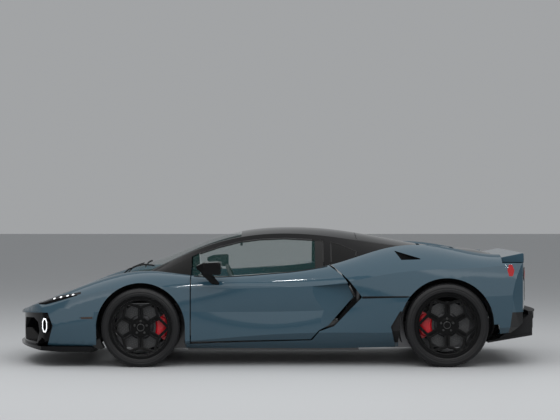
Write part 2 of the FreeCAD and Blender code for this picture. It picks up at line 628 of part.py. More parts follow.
# ---------------------------------------------------------------- structure
def tub():
    """The moulded cabin tub: floor, deep sills, hinge pillars, a nose that narrows to the footwells."""
    space = lower_body(DOOR_WALL + RUNNING_GAP)
    between_doors = box((-FAR_END, -Y(700), 0), (FAR_END, Y(700), HIGH))
    house_space = greenhouse(ROOF_WALL + RUNNING_GAP).common(between_doors)
    low_space = box((-FAR_END, -TUB_HALF, 0), (FAR_END, TUB_HALF, Z(330)))
    space = fused([space, house_space, low_space])
    wide_front = FRONT_AXLE - WELL_OUTER - RUNNING_GAP
    pieces = [
        box((REAR_BULKHEAD, -FAR, FLOOR_LOW), (wide_front, FAR, FLOOR_TOP)),
        box((wide_front - 1, -FOOTWELL_HALF, FLOOR_LOW), (TUB_FRONT, FOOTWELL_HALF, FLOOR_TOP)),
        box((REAR_BULKHEAD, -FAR, FLOOR_LOW), (REAR_BULKHEAD + BULKHEAD, FAR, HIGH)),
        box((TUB_FRONT - BULKHEAD, -FOOTWELL_HALF, FLOOR_LOW), (TUB_FRONT, FOOTWELL_HALF, Z(690))),
    ]
    for side in (1, -1):
        low, high = sorted((side * SILL_INNER, side * FAR))
        pieces.append(box((REAR_BULKHEAD, low, FLOOR_LOW), (wide_front, high, SILL_TOP)))
        low, high = sorted((side * (FOOTWELL_HALF - BULKHEAD), side * FAR))
        pieces.append(box((wide_front - BULKHEAD, low, FLOOR_LOW), (wide_front, high, Z(700))))
        low, high = sorted((side * (FOOTWELL_HALF - BULKHEAD), side * FOOTWELL_HALF))
        pieces.append(box((wide_front - BULKHEAD, low, FLOOR_LOW), (TUB_FRONT, high, Z(690))))
    return fused(pieces).common(space)


def arch_liners():
    """Half-round liners over each wheel, the walls inboard of the wheels, and the rear wheels' vents."""
    inside = outline_body(PANEL_WALL + RUNNING_GAP)
    rows = [
        (FRONT_HUB, WELL_INNER, WELL_OUTER, FOOTWELL_HALF + RUNNING_GAP),
        (REAR_HUB, REAR_WELL, REAR_WELL + WELL_OUTER - WELL_INNER, REAR_LINER_INNER),
    ]
    pieces = []
    for (x, z), inner, outer, low in rows:
        band = across(outer, x, z, low, FAR).cut(across(inner, x, z, low - 1, FAR))
        band = band.common(box((x - 2 * outer, low, LINER_LOW), (x + 2 * outer, FAR, HIGH)))
        pieces.append(band.common(inside))
        wall = across(inner - RUNNING_GAP, x, z, low, low + INNER_WALL)
        above_arms = box((x - outer, 0, z + BALL_RISE + ARM_ROOM), (x + outer, FAR, HIGH))
        pieces.append(wall.common(above_arms).common(inside))
    vent = inside.cut(outline_body(PANEL_WALL + LINER_WALL))
    vent = vent.common(side_prism(grown(WHEEL_VENT, -RUNNING_GAP), Y(800), FAR))
    clear = REAR_WELL + WELL_OUTER - WELL_INNER + RUNNING_GAP
    wheel_room = across(clear, *REAR_HUB, 0, FAR)
    below_hub = box((REAR_AXLE - clear, 0, 0), (REAR_AXLE + clear, FAR, REAR_TYRE_RADIUS))
    pieces.append(vent.cut(wheel_room.fuse(below_hub)))
    return Part.makeCompound([solid for piece in pieces for solid in pair(piece).Solids])


def subframes():
    """Side plates with the suspension's pick-ups on a floor plate, open at the wheel centres."""
    rows = [(TUB_FRONT + RUNNING_GAP, TRAY_BACK - RUNNING_GAP, Z(520), FRONT_HUB),
            (SUBFRAME_TAIL, REAR_BULKHEAD - RUNNING_GAP, Z(600), REAR_HUB)]
    frames = []
    for low, high, top, hub in rows:
        floor = box((low, -SUBFRAME_OUTER, FLOOR_LOW), (high, SUBFRAME_OUTER, FLOOR_TOP))
        walls = [box((low, min(a, b), FLOOR_LOW), (high, max(a, b), top))
                 for a, b in ((SUBFRAME_INNER, SUBFRAME_OUTER), (-SUBFRAME_INNER, -SUBFRAME_OUTER))]
        frames.append(fused([floor] + walls).cut(across(SHAFT_HOLE, *hub, -FAR, 2 * FAR)))
    return Part.makeCompound(frames)


def engine():
    """The vee engine and its gearbox as one plain block on the rear subframe."""
    low = FLOOR_TOP + RUNNING_GAP
    banks = [(-Y(170), Z(420)), (Y(170), Z(420)), (Y(330), Z(700)), (-Y(330), Z(700))]
    return fused([
        box((X(-1250), -Y(170), low), (X(-760), Y(170), Z(520))),
        front_prism(banks, X(-1230), X(-780)),
        box((X(-1750), -GEARBOX_HALF, low), (X(-1249), GEARBOX_HALF, Z(480))),
    ])


def luggage_tray():
    """The open tray under the front lid, its rim against the lid's underside."""
    outside = box((TRAY_BACK, -TRAY_HALF, TRAY_LOW), (TRAY_FRONT, TRAY_HALF, HIGH))
    outside = outside.common(lower_body(PANEL_WALL + RUNNING_GAP))
    inside = box((TRAY_BACK + TRAY_WALL, -TRAY_HALF + TRAY_WALL, TRAY_LOW + TRAY_WALL),
                 (TRAY_FRONT - TRAY_WALL, TRAY_HALF - TRAY_WALL, HIGH))
    return outside.cut(inside)


def bar(a, b, radius):
    """A round bar from a to b."""
    return Part.makeCylinder(radius, (b - a).Length, a, b - a)


def suspension_arms():
    """Wishbones, each an eye round the upright's pin and two legs to the subframe, and the drive shafts."""
    arms = []
    for (x, z), y in ((FRONT_HUB, KINGPIN_Y), (REAR_HUB, REAR_PIN_Y)):
        for rise in (-BALL_RISE, BALL_RISE):
            ball = V(x, y, z + rise)
            eye = Part.makeCylinder(EYE_RADIUS, EYE_THICK, ball - V(0, 0, EYE_THICK / 2), V(0, 0, 1))
            feet = [V(x + spread, SUBFRAME_OUTER, z + rise) for spread in (-ARM_SPREAD, ARM_SPREAD)]
            arm = fused([eye] + [bar(ball, foot, ARM_RADIUS) for foot in feet])
            keep = box((x - 400, SUBFRAME_OUTER + RUNNING_GAP, 0), (x + 400, FAR, 1000))
            low = ball - V(0, 0, 1.5 * EYE_THICK)
            bore = Part.makeCylinder(PIN_RADIUS + RUNNING_GAP, 3 * EYE_THICK, low, V(0, 0, 1))
            arms.append(arm.common(keep).cut(bore))
    arms.append(drive_shaft())
    return Part.makeCompound([solid for arm in arms for solid in pair(arm).Solids])


def drive_shaft():
    """A shaft with a joint boot at each end, from the gearbox's side to the back of the rear upright."""
    start = GEARBOX_HALF + RUNNING_GAP
    end = REAR_WHEEL_Y + hub_face(REAR_TYRE_WIDTH) - UPRIGHT_BACK - RUNNING_GAP
    profile = [(0, start), (BOOT_RADIUS, start), (BOOT_RADIUS, start + BOOT_LENGTH / 2),
               (SHAFT_RADIUS, start + BOOT_LENGTH), (SHAFT_RADIUS, end - BOOT_LENGTH),
               (BOOT_RADIUS, end - BOOT_LENGTH / 2), (BOOT_RADIUS, end), (0, end)]
    return turned(profile).translated(V(REAR_AXLE, 0, REAR_TYRE_RADIUS))


# ---------------------------------------------------------------- wheels
def hub_face(tyre_width):
    """How far outboard of the wheel's middle the brake disc's hat meets the wheel."""
    return tyre_width / 2 - RIM_SET_BACK - HUB_DEPTH


FRONT_WHEEL_Y = WIDTH / 2 - FRONT_WHEEL_INSET - FRONT_TYRE_WIDTH / 2
REAR_WHEEL_Y = WIDTH / 2 - REAR_WHEEL_INSET - REAR_TYRE_WIDTH / 2
KINGPIN_Y = FRONT_WHEEL_Y + hub_face(FRONT_TYRE_WIDTH) - PIN_SET_IN
REAR_PIN_Y = REAR_WHEEL_Y + hub_face(REAR_TYRE_WIDTH) - PIN_SET_IN

# The wheel's windows as (share of the face's radius, degrees): six long hexagons between the spokes, six
# triangles against the rim where each spoke forks, and a sunk pocket along each spoke.
HEX_WINDOW = [(0.372, -14.7), (0.372, 14.7), (0.730, 22.3), (0.945, 1.5), (0.945, -1.5), (0.730, -22.3)]
RIM_TRIANGLE = [(0.800, 0), (1.0, 24), (1.0, 12), (1.0, 0), (1.0, -12), (1.0, -24)]
SPOKE_POCKET = [(0.430, -4.5), (0.430, 4.5), (0.690, 3.6), (0.745, 0), (0.690, -3.6)]


def turned(profile):
    """A ring from its profile, (radius, outboard), turned about the Y axis."""
    points = [V(r, w, 0) for r, w in profile]
    return Part.Face(Part.makePolygon(points + points[:1])).revolve(V(0, 0, 0), V(0, 1, 0), 360)


def polar_window(points, angle, low=-400.0, high=400.0):
    """A hole through the wheel's face: (radius, degrees from the window's middle) corners."""
    corners = []
    for r, a in points:
        turn = math.radians(angle + a)
        corners.append((r * math.cos(turn), r * math.sin(turn)))
    return side_prism(corners, low, high)


def rim(rim_radius, tyre_width):
    """The barrel with its two flanges, and a dished face of six forked spokes."""
    lip = tyre_width / 2 - RIM_SET_BACK
    flange = rim_radius + FLANGE_RISE
    barrel_in = rim_radius - BARREL_WALL
    barrel = turned([(barrel_in, -lip), (flange, -lip), (flange, 8 - lip), (rim_radius, 13 - lip),
                     (rim_radius, lip - 13), (flange, lip - 8), (flange, lip), (barrel_in + 4, lip),
                     (barrel_in, lip - 6)])
    face = turned([(BORE_RADIUS, lip - HUB_DEPTH), (BORE_RADIUS, lip - FACE_DISH + 4),
                   (HUB_RADIUS, lip - FACE_DISH), (barrel_in + 1, lip - 10), (barrel_in + 1, lip - 34),
                   (HUB_RADIUS + 14, lip - 60), (HUB_RADIUS, lip - HUB_DEPTH)])
    cap = across(BORE_RADIUS + 1, 0, 0, lip - FACE_DISH - CAP_THICK, lip - FACE_DISH + 2)
    edge = barrel_in - 8
    cuts = []
    for k in range(6):
        cuts.append(polar_window([(edge * share, a) for share, a in HEX_WINDOW], 60 * k))
        cuts.append(polar_window([(edge * share, a) for share, a in RIM_TRIANGLE], 60 * k + 30))
        pocket = [(edge * share, a) for share, a in SPOKE_POCKET]
        cuts.append(polar_window(pocket, 60 * k + 30, lip - FACE_DISH - POCKET_DEPTH))
    return fused([barrel, face.cut(fused(cuts)), cap])


def tyre(tyre_radius, rim_radius, tyre_width):
    """The tyre's section, from its seat on the rim round the bead, the sidewall and the shoulder."""
    half = tyre_width / 2
    lip = half - RIM_SET_BACK
    seat = rim_radius + RUNNING_GAP
    flange = rim_radius + FLANGE_RISE + 1.0
    wall = (tyre_radius - flange) / 2
    side = [(seat, lip - 13.3), (flange, lip - 8.3), (flange + 2, half - 3), (flange + wall, half),
            (tyre_radius - 12, half - 5), (tyre_radius - 4, half - 14), (tyre_radius, half - 32)]
    return turned([(r, -w) for r, w in side] + list(reversed(side)))


def brake_disc(tyre_width):
    face = hub_face(tyre_width) - RUNNING_GAP
    back = face - 38
    ring = turned([(DISC_INNER, back), (DISC_RADIUS, back), (DISC_RADIUS, back + DISC_THICK),
                   (DISC_INNER, back + DISC_THICK)])
    hat = turned([(BORE_RADIUS + 1, face - 13), (DISC_INNER + 4, face - 13), (DISC_INNER + 4, face),
                  (BORE_RADIUS + 1, face)])
    return ring.fuse(hat)


def caliper(tyre_width, rim_radius, angle):
    """A block astride the disc, on the side of it that faces the middle of the car."""
    face = hub_face(tyre_width)
    outer = rim_radius - BARREL_WALL - 8
    inner = DISC_INNER + 20
    block = turned([(inner, face - 64), (outer, face - 64), (outer, face + 10), (outer - 12, face + 22),
                    (inner + 10, face + 22), (inner, face + 14)])
    slot = turned([(inner - 28, face - 43.5), (DISC_RADIUS + 6, face - 43.5), (DISC_RADIUS + 6, face + 2),
                   (inner - 28, face + 2)])
    wedge = polar_window([(0, 0), (400, -CALIPER_SWEEP), (400, CALIPER_SWEEP)], angle)
    return block.cut(slot).common(wedge)


def upright(tyre_width, reach):
    """The knuckle: spindle, a flat body behind the disc, a pin up and down, and the caliper's bracket."""
    face = hub_face(tyre_width)
    spindle = across(BORE_RADIUS - RUNNING_GAP, 0, 0, face - 60, face + 47)
    body = box((-45, face - UPRIGHT_BACK, -125), (45, face - 50, 125))
    pin_end = BALL_RISE + EYE_THICK / 2
    pin = Part.makeCylinder(PIN_RADIUS, 2 * pin_end, V(0, face - PIN_SET_IN, -pin_end), V(0, 0, 1))
    bracket = box((min(0, reach), face - 90, -35), (max(0, reach), face - 64, 35))
    return fused([spindle, body, pin, bracket])


def place(shape, axle_x, hub_z, wheel_y, side):
    """Moves a wheel piece drawn at the origin, outboard to +Y, to its corner of the car."""
    moved = shape.translated(V(axle_x, wheel_y, hub_z))
    return moved if side == "left" else mirrored(moved)


# axle, hub x, hub z, wheel y, tyre radius, rim radius, tyre width, caliper's direction from the hub
CORNERS = [
    ("front", FRONT_AXLE, FRONT_TYRE_RADIUS, FRONT_WHEEL_Y, FRONT_RIM_RADIUS, FRONT_TYRE_WIDTH, 180.0),
    ("rear", REAR_AXLE, REAR_TYRE_RADIUS, REAR_WHEEL_Y, REAR_RIM_RADIUS, REAR_TYRE_WIDTH, 0.0),
]


def corners():
    for axle, x, radius, wheel_y, rim_radius, width, towards in CORNERS:
        reach = 165.0 if towards == 0.0 else -165.0
        pieces = {
            "rim": rim(rim_radius, width),
            "tyre": tyre(radius, rim_radius, width),
            "brake_disc": brake_disc(width),
        }
        for name, piece in pieces.items():
            for side in ("left", "right"):
                save(f"{name}_{axle}_{side}", place(piece, x, radius, wheel_y, side))
        knuckle = upright(width, reach)
        block = caliper(width, rim_radius, towards)
        if axle == "front":
            for side in ("left", "right"):
                save("knuckle_" + side, place(knuckle, x, radius, wheel_y, side))
                save("caliper_front_" + side, place(block, x, radius, wheel_y, side))
        else:
            save("rear_uprights", pair(place(knuckle, x, radius, wheel_y, "left")))
            save("rear_calipers", pair(place(block, x, radius, wheel_y, "left")))


# ---------------------------------------------------------------- cabin
def seat():
    """A bucket seat as one closed soft solid: cushion and reclined back."""
    side = drawn_side([(160, 165.3), (180, 330), (120, 352), (-180, 300), (-420, 860), (-480, 850),
                       (-500, 800), (-300, 165.3)])
    return side_prism(side, Y(130), Y(580))


def cabin():
    save("seats", pair(seat()))
    dash_shape = drawn_side([(560, 560), (560, 700), (640, 760), (900, 770), (974, 740), (974, 560)])
    pillar = FRONT_AXLE - WELL_OUTER - RUNNING_GAP - BULKHEAD
    between_pillars = box((0, -Y(640), 0), (pillar, Y(640), 1000))
    over_footwells = box((0, -FOOTWELL_HALF, 0), (1500, FOOTWELL_HALF, 1000))
    dash = side_prism(dash_shape, -Y(640), Y(640)).common(between_pillars.fuse(over_footwells))
    dash = dash.common(lower_body(DOOR_WALL + RUNNING_GAP)).cut(tub())
    save("dashboard", dash)
    console = drawn_side([(-380, 165.3), (-380, 330), (100, 400), (560, 600), (620, 600), (620, 165.3)])
    save("centre_console", side_prism(console, -Y(105), Y(105)).cut(dash))
    save("steering_wheel", steering_wheel().cut(dash))


def steering_wheel():
    """A ring flattened by its spokes' boss, on a column that runs forward into the dash."""
    ring = Part.makeTorus(STEERING_RADIUS, STEERING_RIM)
    spokes = [box((-165, -14, -10), (165, 14, 6)), box((-14, -165, -10), (14, 0, 6))]
    boss = Part.makeCylinder(46, 26, V(0, 0, -18), V(0, 0, 1))
    column = Part.makeCylinder(28, STEERING_REACH + 35, V(0, 0, -STEERING_REACH - 35), V(0, 0, 1))
    steering = fused([ring, boss, column] + spokes)
    steering.rotate(V(0, 0, 0), V(0, 1, 0), -68.0)
    return steering.translated(V(DASH_FACE - STEERING_REACH, Y(360), Z(700)))


panels()
for name, turn in (("left", lambda s: s), ("right", mirrored)):
    save("mirror_" + name, turn(mirror_left()))
save("front_splitter", front_splitter())
save("diffuser", diffuser())
save("exhaust", exhaust())
save("tub", tub())
save("arch_liners", arch_liners())
save("subframes", subframes())
save("engine_block", engine())
save("luggage_tray", luggage_tray())
save("suspension_arms", suspension_arms())
corners()
cabin()
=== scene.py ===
# %% [markdown]
# # A mid-engined supercar
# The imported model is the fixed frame: every piece sits where the frame says, in metres, with +X towards the
# nose, +Y to the car's left and +Z up. This file dresses that frame: it mixes the finishes, details the wheels
# and lamps, lays trim and grilles on the panels, and upholsters the cabin.

# %% Load the frame
import json
import math

import bmesh
import bpy
from mathutils import Matrix, Vector
from mathutils.bvhtree import BVHTree


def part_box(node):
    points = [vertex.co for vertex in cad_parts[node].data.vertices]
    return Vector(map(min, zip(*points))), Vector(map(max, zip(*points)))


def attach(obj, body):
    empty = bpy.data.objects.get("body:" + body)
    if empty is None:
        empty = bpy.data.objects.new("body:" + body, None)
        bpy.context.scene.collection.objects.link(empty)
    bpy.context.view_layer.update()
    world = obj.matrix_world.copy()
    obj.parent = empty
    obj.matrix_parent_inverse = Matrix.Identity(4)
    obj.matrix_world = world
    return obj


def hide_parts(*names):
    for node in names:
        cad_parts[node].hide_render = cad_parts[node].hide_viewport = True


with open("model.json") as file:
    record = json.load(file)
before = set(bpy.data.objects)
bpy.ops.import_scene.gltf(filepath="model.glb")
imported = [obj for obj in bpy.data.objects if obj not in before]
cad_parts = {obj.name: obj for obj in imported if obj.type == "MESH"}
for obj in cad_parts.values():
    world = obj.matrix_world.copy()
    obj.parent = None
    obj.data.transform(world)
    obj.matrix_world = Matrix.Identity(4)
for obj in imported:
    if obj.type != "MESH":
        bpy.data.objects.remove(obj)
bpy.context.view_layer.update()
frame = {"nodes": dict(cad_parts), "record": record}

NODES = frame["nodes"]
SIDES = (("left", 1.0), ("right", -1.0))

# %% [markdown]
# ## Camera
# The car is seen square from its left side, from far away with a long lens, as a studio would shoot a side
# view: distance keeps the wheels round and the proportions true. A camera looks along its own -Z, so turning
# it a quarter about X levels it, and half a turn about Z faces it towards -Y.

# %% Camera
LENS = 103.6
CAMERA_PLACE = Vector((-0.016, 14.92, 1.42))
CAMERA_TILT = math.radians(90.0 - 0.235)

camera = bpy.data.objects.new("camera", bpy.data.cameras.new("camera"))
camera.data.lens = LENS
camera.data.sensor_width = 36.0
camera.data.clip_end = 200.0
camera.location = CAMERA_PLACE
camera.rotation_euler = (CAMERA_TILT, 0.0, math.pi)
bpy.context.scene.collection.objects.link(camera)
bpy.context.scene.camera = camera
print("camera at", tuple(round(v, 3) for v in CAMERA_PLACE))

# %% [markdown]
# ## Light
# Gloss paint shows its lamps, so the main ones are large and soft: a wide panel overhead and two long ones on
# the camera's side, one high and one low. A scatter of small ceiling spots is there for its glints, which run
# along the shoulders. The world is the plain pale studio that mirrors and glass see; it lights the car gently.

# %% Lamps and world
def area_lamp(name, place, aim, size, watts):
    """A rectangular soft lamp at place, facing aim; size is (width, height) in metres."""
    data = bpy.data.lights.new(name, "AREA")
    data.shape = "RECTANGLE"
    data.size, data.size_y = size
    data.energy = watts
    lamp = bpy.data.objects.new(name, data)
    lamp.location = place
    lamp.rotation_euler = (Vector(aim) - Vector(place)).to_track_quat("-Z", "Y").to_euler()
    bpy.context.scene.collection.objects.link(lamp)


#   name        place               aim               size          watts
LAMPS = [
    ("overhead", (0.0, 0.0, 6.0), (0.0, 0.0, 0.0), (14.0, 9.0), 330.0),
    ("near_side", (0.0, 9.5, 6.6), (0.0, 0.0, 0.6), (15.0, 5.0), 270.0),
    ("near_soft", (0.0, 11.2, 3.0), (0.0, 0.0, 0.6), (17.0, 4.2), 150.0),
]
# Where the small ceiling spots hang. Each leans in towards the car: SPOT_AIM scales its x.
SPOTS = [(3.6, 3.2, 4.6), (2.9, 4.6, 4.2), (1.9, 3.8, 4.4), (1.1, 5.0, 4.0), (0.2, 3.2, 4.6), (-0.6, 4.6, 4.2),
         (-1.4, 3.6, 4.4), (-2.2, 5.0, 4.0), (-3.0, 3.2, 4.6), (-4.4, 4.2, 4.4)]
SPOT_SIZE = (0.22, 0.10)
SPOT_WATTS = 9.0
SPOT_AIM = 0.6
for i, place in enumerate(SPOTS):
    area_lamp(f"spot_{i}", place, (place[0] * SPOT_AIM, 0.6, 0.6), SPOT_SIZE, SPOT_WATTS)
for name, place, aim, size, watts in LAMPS:
    area_lamp(name, place, aim, size, watts)

world = bpy.data.worlds.new("studio")
bpy.context.scene.world = world
world.use_nodes = True
background = world.node_tree.nodes["Background"]
background.inputs["Color"].default_value = (0.86, 0.88, 0.90, 1.0)
background.inputs["Strength"].default_value = 0.42
bpy.context.scene.view_settings.view_transform = "Standard"
print("lamps:", [row[0] for row in LAMPS], "and", len(SPOTS), "spots")

# %% [markdown]
# ## Shader maths
# A finish is a graph of nodes, but it reads best as a formula. A Wire holds one output socket and turns
# Python's operators into Math nodes, so 1 - mask * 0.3 builds the graph by itself. A Finish is one material:
# add() makes any other node, and set() gives the surface shader its values, as plain numbers where they are
# the same all over and as wires where they vary. Colours are mixed by blend(), because a Math node would turn
# them grey.

# %% Wires and finishes
class Wire:
    """An output socket that can be written in expressions."""

    def __init__(self, finish, socket):
        self.finish = finish
        self.socket = socket

    def math(self, operation, first, second=None):
        values = {0: first} if second is None else {0: first, 1: second}
        return self.finish.add("ShaderNodeMath", values, operation=operation)

    def __add__(self, other):
        return self.math("ADD", self, other)

    def __radd__(self, other):
        return self.math("ADD", other, self)

    def __sub__(self, other):
        return self.math("SUBTRACT", self, other)

    def __rsub__(self, other):
        return self.math("SUBTRACT", other, self)

    def __mul__(self, other):
        return self.math("MULTIPLY", self, other)

    def __rmul__(self, other):
        return self.math("MULTIPLY", other, self)

    def __gt__(self, other):
        return self.math("GREATER_THAN", self, other)

    def __lt__(self, other):
        return self.math("LESS_THAN", self, other)


def rgba(value):
    """A colour with its alpha; numbers and wires pass through."""
    return (*value, 1.0) if isinstance(value, tuple) and len(value) == 3 else value


class Finish:
    """One material and its Principled shader."""

    def __init__(self, name):
        self.material = bpy.data.materials.new(name)
        self.material.use_nodes = True
        self.tree = self.material.node_tree
        self.shader = self.tree.nodes["Principled BSDF"]

    def plug(self, socket, value):
        if isinstance(value, Wire):
            self.tree.links.new(value.socket, socket)
        else:
            socket.default_value = value

    def add(self, kind, inputs=None, output=0, **settings):
        """A node of any kind: its settings first, then the values or wires of its sockets."""
        node = self.tree.nodes.new(kind)
        for key, value in settings.items():
            setattr(node, key, value)
        for key, value in (inputs or {}).items():
            self.plug(node.inputs[key], rgba(value) if kind == "ShaderNodeMix" else value)
        return Wire(self, node.outputs[output])

    def set(self, **values):
        for key, value in values.items():
            name = key.replace("_", " ").title().replace("Ior", "IOR")
            self.plug(self.shader.inputs[name], rgba(value))
        return self

    def place(self):
        """The point on the object, in metres."""
        return self.add("ShaderNodeTexCoord", output="Object")

    def noise(self, scale, detail):
        return self.add("ShaderNodeTexNoise",
                        {"Vector": self.place(), "Scale": scale, "Detail": detail, "Roughness": 0.55})

    def axis(self, letter):
        """How far along one axis a point of the object lies."""
        return self.add("ShaderNodeSeparateXYZ", {"Vector": self.place()}, output=letter)

    def blend(self, mask, first, second):
        """The first colour where the mask is 0 and the second where it is 1."""
        return self.add("ShaderNodeMix", {0: mask, 6: first, 7: second}, output=2, data_type="RGBA")

    def bump(self, height, distance, strength=1.0):
        return self.add("ShaderNodeBump", {"Height": height, "Distance": distance, "Strength": strength})


print("wires and finishes ready")

# %% [markdown]
# ## Finishes
# Most parts share one recipe: a soft noise carries the colour from a dark to a light tone and the gloss with it,
# as handling, dust and casting do on a real surface. Where a grain can be felt, a finer noise feeds a bump. What
# sets one finish from the next is a row of numbers, so the recipe is one function.

# %% The shared recipe
FINISHES = {}


def mottled(name, scale, detail, dark, light, rough, vary, grain=None, **more):
    """One noise shades colour and gloss; a light of None keeps one colour; grain is (noise scale, bump depth)."""
    finish = Finish(name)
    mask = finish.noise(scale, detail)
    if grain:
        more["normal"] = finish.bump(finish.noise(grain[0], 2.0), grain[1])
    colour = finish.blend(mask, dark, light) if light else dark
    return finish.set(base_color=colour, roughness=rough + vary * mask, **more).material


print("recipe ready")

# %% [markdown]
# ### Paint
# The paint is a solid blue-grey under clear lacquer: the lacquer is the shader's coat, nearly smooth, and the
# colour under it is duller. A trace of very fine mottle keeps large panels from looking like plastic. The tail
# panel wears two colours at once, so its mask is drawn in the car's own coordinates.

# %% Paint and the two-tone tail
PAINT_DARK = (0.024, 0.059, 0.085)
PAINT_LIGHT = (0.030, 0.069, 0.098)
TAIL_PAINT_FROM = 0.70
TAIL_PAINT_ABOVE = 0.475


def paint():
    finish = Finish("paint_blue_grey")
    cloud = finish.noise(1.4, 2.0)
    colour = finish.blend(0.6 * finish.noise(900.0, 2.0) + 0.4 * cloud, PAINT_DARK, PAINT_LIGHT)
    peel = finish.bump(finish.noise(260.0, 1.0), 0.00002)
    return finish.set(base_color=colour, roughness=0.38 + 0.08 * cloud, specular_ior_level=0.0,
                      coat_weight=1.0, coat_roughness=0.07, normal=peel).material


def tail_two_tone():
    """The tail panel: body colour round its corners, gloss black between the lamps."""
    finish = Finish("tail_two_tone")
    cloud = finish.noise(1.4, 2.0)
    sideways = finish.axis("Y")
    painted = (sideways * sideways > TAIL_PAINT_FROM ** 2) * (finish.axis("Z") > TAIL_PAINT_ABOVE)
    colour = finish.blend(painted, (0.003, 0.003, 0.0035), finish.blend(cloud, PAINT_DARK, PAINT_LIGHT))
    return finish.set(base_color=colour, roughness=0.10 + 0.26 * painted, specular_ior_level=0.1,
                      coat_weight=1.0, coat_roughness=0.03).material


FINISHES["body_paint"] = paint()
FINISHES["tail_two_tone"] = tail_two_tone()
print("paints:", list(FINISHES))

# %% [markdown]
# ### Blacks
# Black parts differ in gloss: the roof and mirrors are lacquered, the wheels are powder-coated under lacquer and
# their rounded edges carry a painted highlight, a lighter colour, and the liners are moulded with a fine grain.
# The diffuser and lip are twill-woven carbon: two crossing stripe patterns pick out its bright threads.

# %% Blacks
def carbon():
    finish = Finish("woven_carbon")
    warp, weft = (finish.add("ShaderNodeTexWave", {"Vector": finish.place(), "Scale": 55.0}, output="Fac",
                             bands_direction=direction) for direction in ("X", "Y"))
    twill = (warp * weft) > 0.35
    colour = finish.blend(twill, (0.008, 0.008, 0.009), (0.030, 0.030, 0.033))
    return finish.set(base_color=colour, roughness=0.42 - 0.12 * twill, coat_weight=0.7,
                      coat_roughness=0.08).material


#                      name, noise scale, detail, dark tone, light tone, roughness, how much that varies
BLACKS = {
    "gloss_black": mottled("gloss_black", 3.0, 3.0, (0.003, 0.003, 0.0035), None, 0.06, 0.05, ior=1.24),
    "matt_black": mottled("satin_black", 6.0, 4.0, (0.006, 0.006, 0.007), (0.013, 0.013, 0.014), 0.48, 0.15,
                          grain=(1500.0, 0.0001), specular_ior_level=0.25),
    "carbon": carbon(),
    "wheel_black": mottled("wheel_black", 5.0, 4.0, (0.002, 0.002, 0.0023), (0.005, 0.005, 0.005), 0.07, 0.08,
                           ior=1.20),
    # the rims' rounded edges: a lighter colour that is a painted highlight for the lamps' glint
    "painted_edge_highlight": mottled("painted_edge_highlight", 30.0, 2.0, (0.055, 0.055, 0.058), None, 0.06, 0.06, ior=1.75),
}
FINISHES.update(BLACKS)
print("blacks:", list(BLACKS))

# %% [markdown]
# ### Glass and lamps
# Tinted glass is mostly see-through, so its alpha is low; behind the driver's head it turns all but black, as
# privacy glass does, and the fixed glass behind the doors is black as well. Lit lamps glow by emission, kept
# near 1 so that they don't wash out. The tail lenses are ribbed, which a stripe pattern shows.

# %% Glass and lamps
PRIVACY_GLASS_START = -0.324
GLASS_BLACK = (0.003, 0.003, 0.003)


def tinted_glass():
    finish = Finish("tinted_glass")
    private = finish.axis("X") < PRIVACY_GLASS_START
    colour = finish.blend(private, (0.060, 0.150, 0.140), GLASS_BLACK)
    return finish.set(base_color=colour, roughness=0.01 + 0.02 * finish.noise(2.0, 2.0), ior=1.36,
                      alpha=0.09 + 0.89 * private).material


def dark_glass():
    finish = Finish("dark_glass")
    smear = finish.noise(2.0, 2.0)
    return finish.set(base_color=GLASS_BLACK, roughness=0.02 + 0.03 * smear, ior=1.24,
                      alpha=0.985 - 0.01 * smear).material


def lamp_glow():
    finish = Finish("lamp_glow")
    ripple = finish.noise(90.0, 1.0)
    colour = finish.blend(ripple, (0.82, 0.90, 1.0), (1.0, 1.0, 1.0))
    return finish.set(base_color=(0.7, 0.7, 0.7), roughness=0.2 + 0.1 * ripple, emission_color=colour,
                      emission_strength=1.15).material


def red_lens():
    finish = Finish("red_lens")
    ribs = finish.add("ShaderNodeTexWave", {"Vector": finish.place(), "Scale": 30.0}, output="Fac",
                      bands_direction="Z")
    colour = finish.blend(ribs, (0.16, 0.001, 0.002), (0.36, 0.003, 0.006))
    return finish.set(base_color=colour, roughness=0.12 + 0.1 * ribs, ior=1.35, emission_color=colour,
                      emission_strength=0.22).material


CLEAR = {
    "clear_glass": tinted_glass(),
    "dark_glass": dark_glass(),
    "lamp_clear": mottled("lamp_glass", 40.0, 1.0, (0.006, 0.006, 0.008), None, 0.10, 0.05, ior=1.25),
    "lamp_red": red_lens(),
    "lamp_glow": lamp_glow(),
    "lamp_amber": mottled("smoked_amber", 120.0, 1.0, (0.020, 0.008, 0.004), (0.046, 0.018, 0.008), 0.10, 0.10),
    "mirror_silver": mottled("mirror_silver", 8.0, 3.0, (0.72, 0.76, 0.78), None, 0.02, 0.04, metallic=1.0),
}
FINISHES.update(CLEAR)
print("glass and lamps:", list(CLEAR))

# %% [markdown]
# ### Metals, rubber and leather
# A worked metal mixes a fine grain with a broad smear, so castings, steel and the ceramic discs differ only in
# tone and scale. Leather's pebbles are the cells of a Voronoi texture, which give it both shade and bump.

# %% Metals, rubber and leather
def worked_metal(name, dark, light, rough, grain_scale, metallic=1.0):
    finish = Finish(name)
    grain = finish.noise(grain_scale, 4.0)
    smear = finish.noise(4.0, 3.0)
    colour = finish.blend(0.5 * grain + 0.5 * smear, dark, light)
    return finish.set(base_color=colour, metallic=metallic, roughness=rough + 0.12 * smear,
                      normal=finish.bump(grain, 0.0001)).material


def leather(name, dark, light):
    finish = Finish(name)
    pebbles = finish.add("ShaderNodeTexVoronoi", {"Vector": finish.place(), "Scale": 620.0}, output="Distance")
    shade = finish.noise(14.0, 3.0)
    colour = finish.blend(0.6 * shade + 0.4 * pebbles, dark, light)
    return finish.set(base_color=colour, roughness=0.45 + 0.2 * shade,
                      normal=finish.bump(pebbles, 0.0006, 0.6)).material


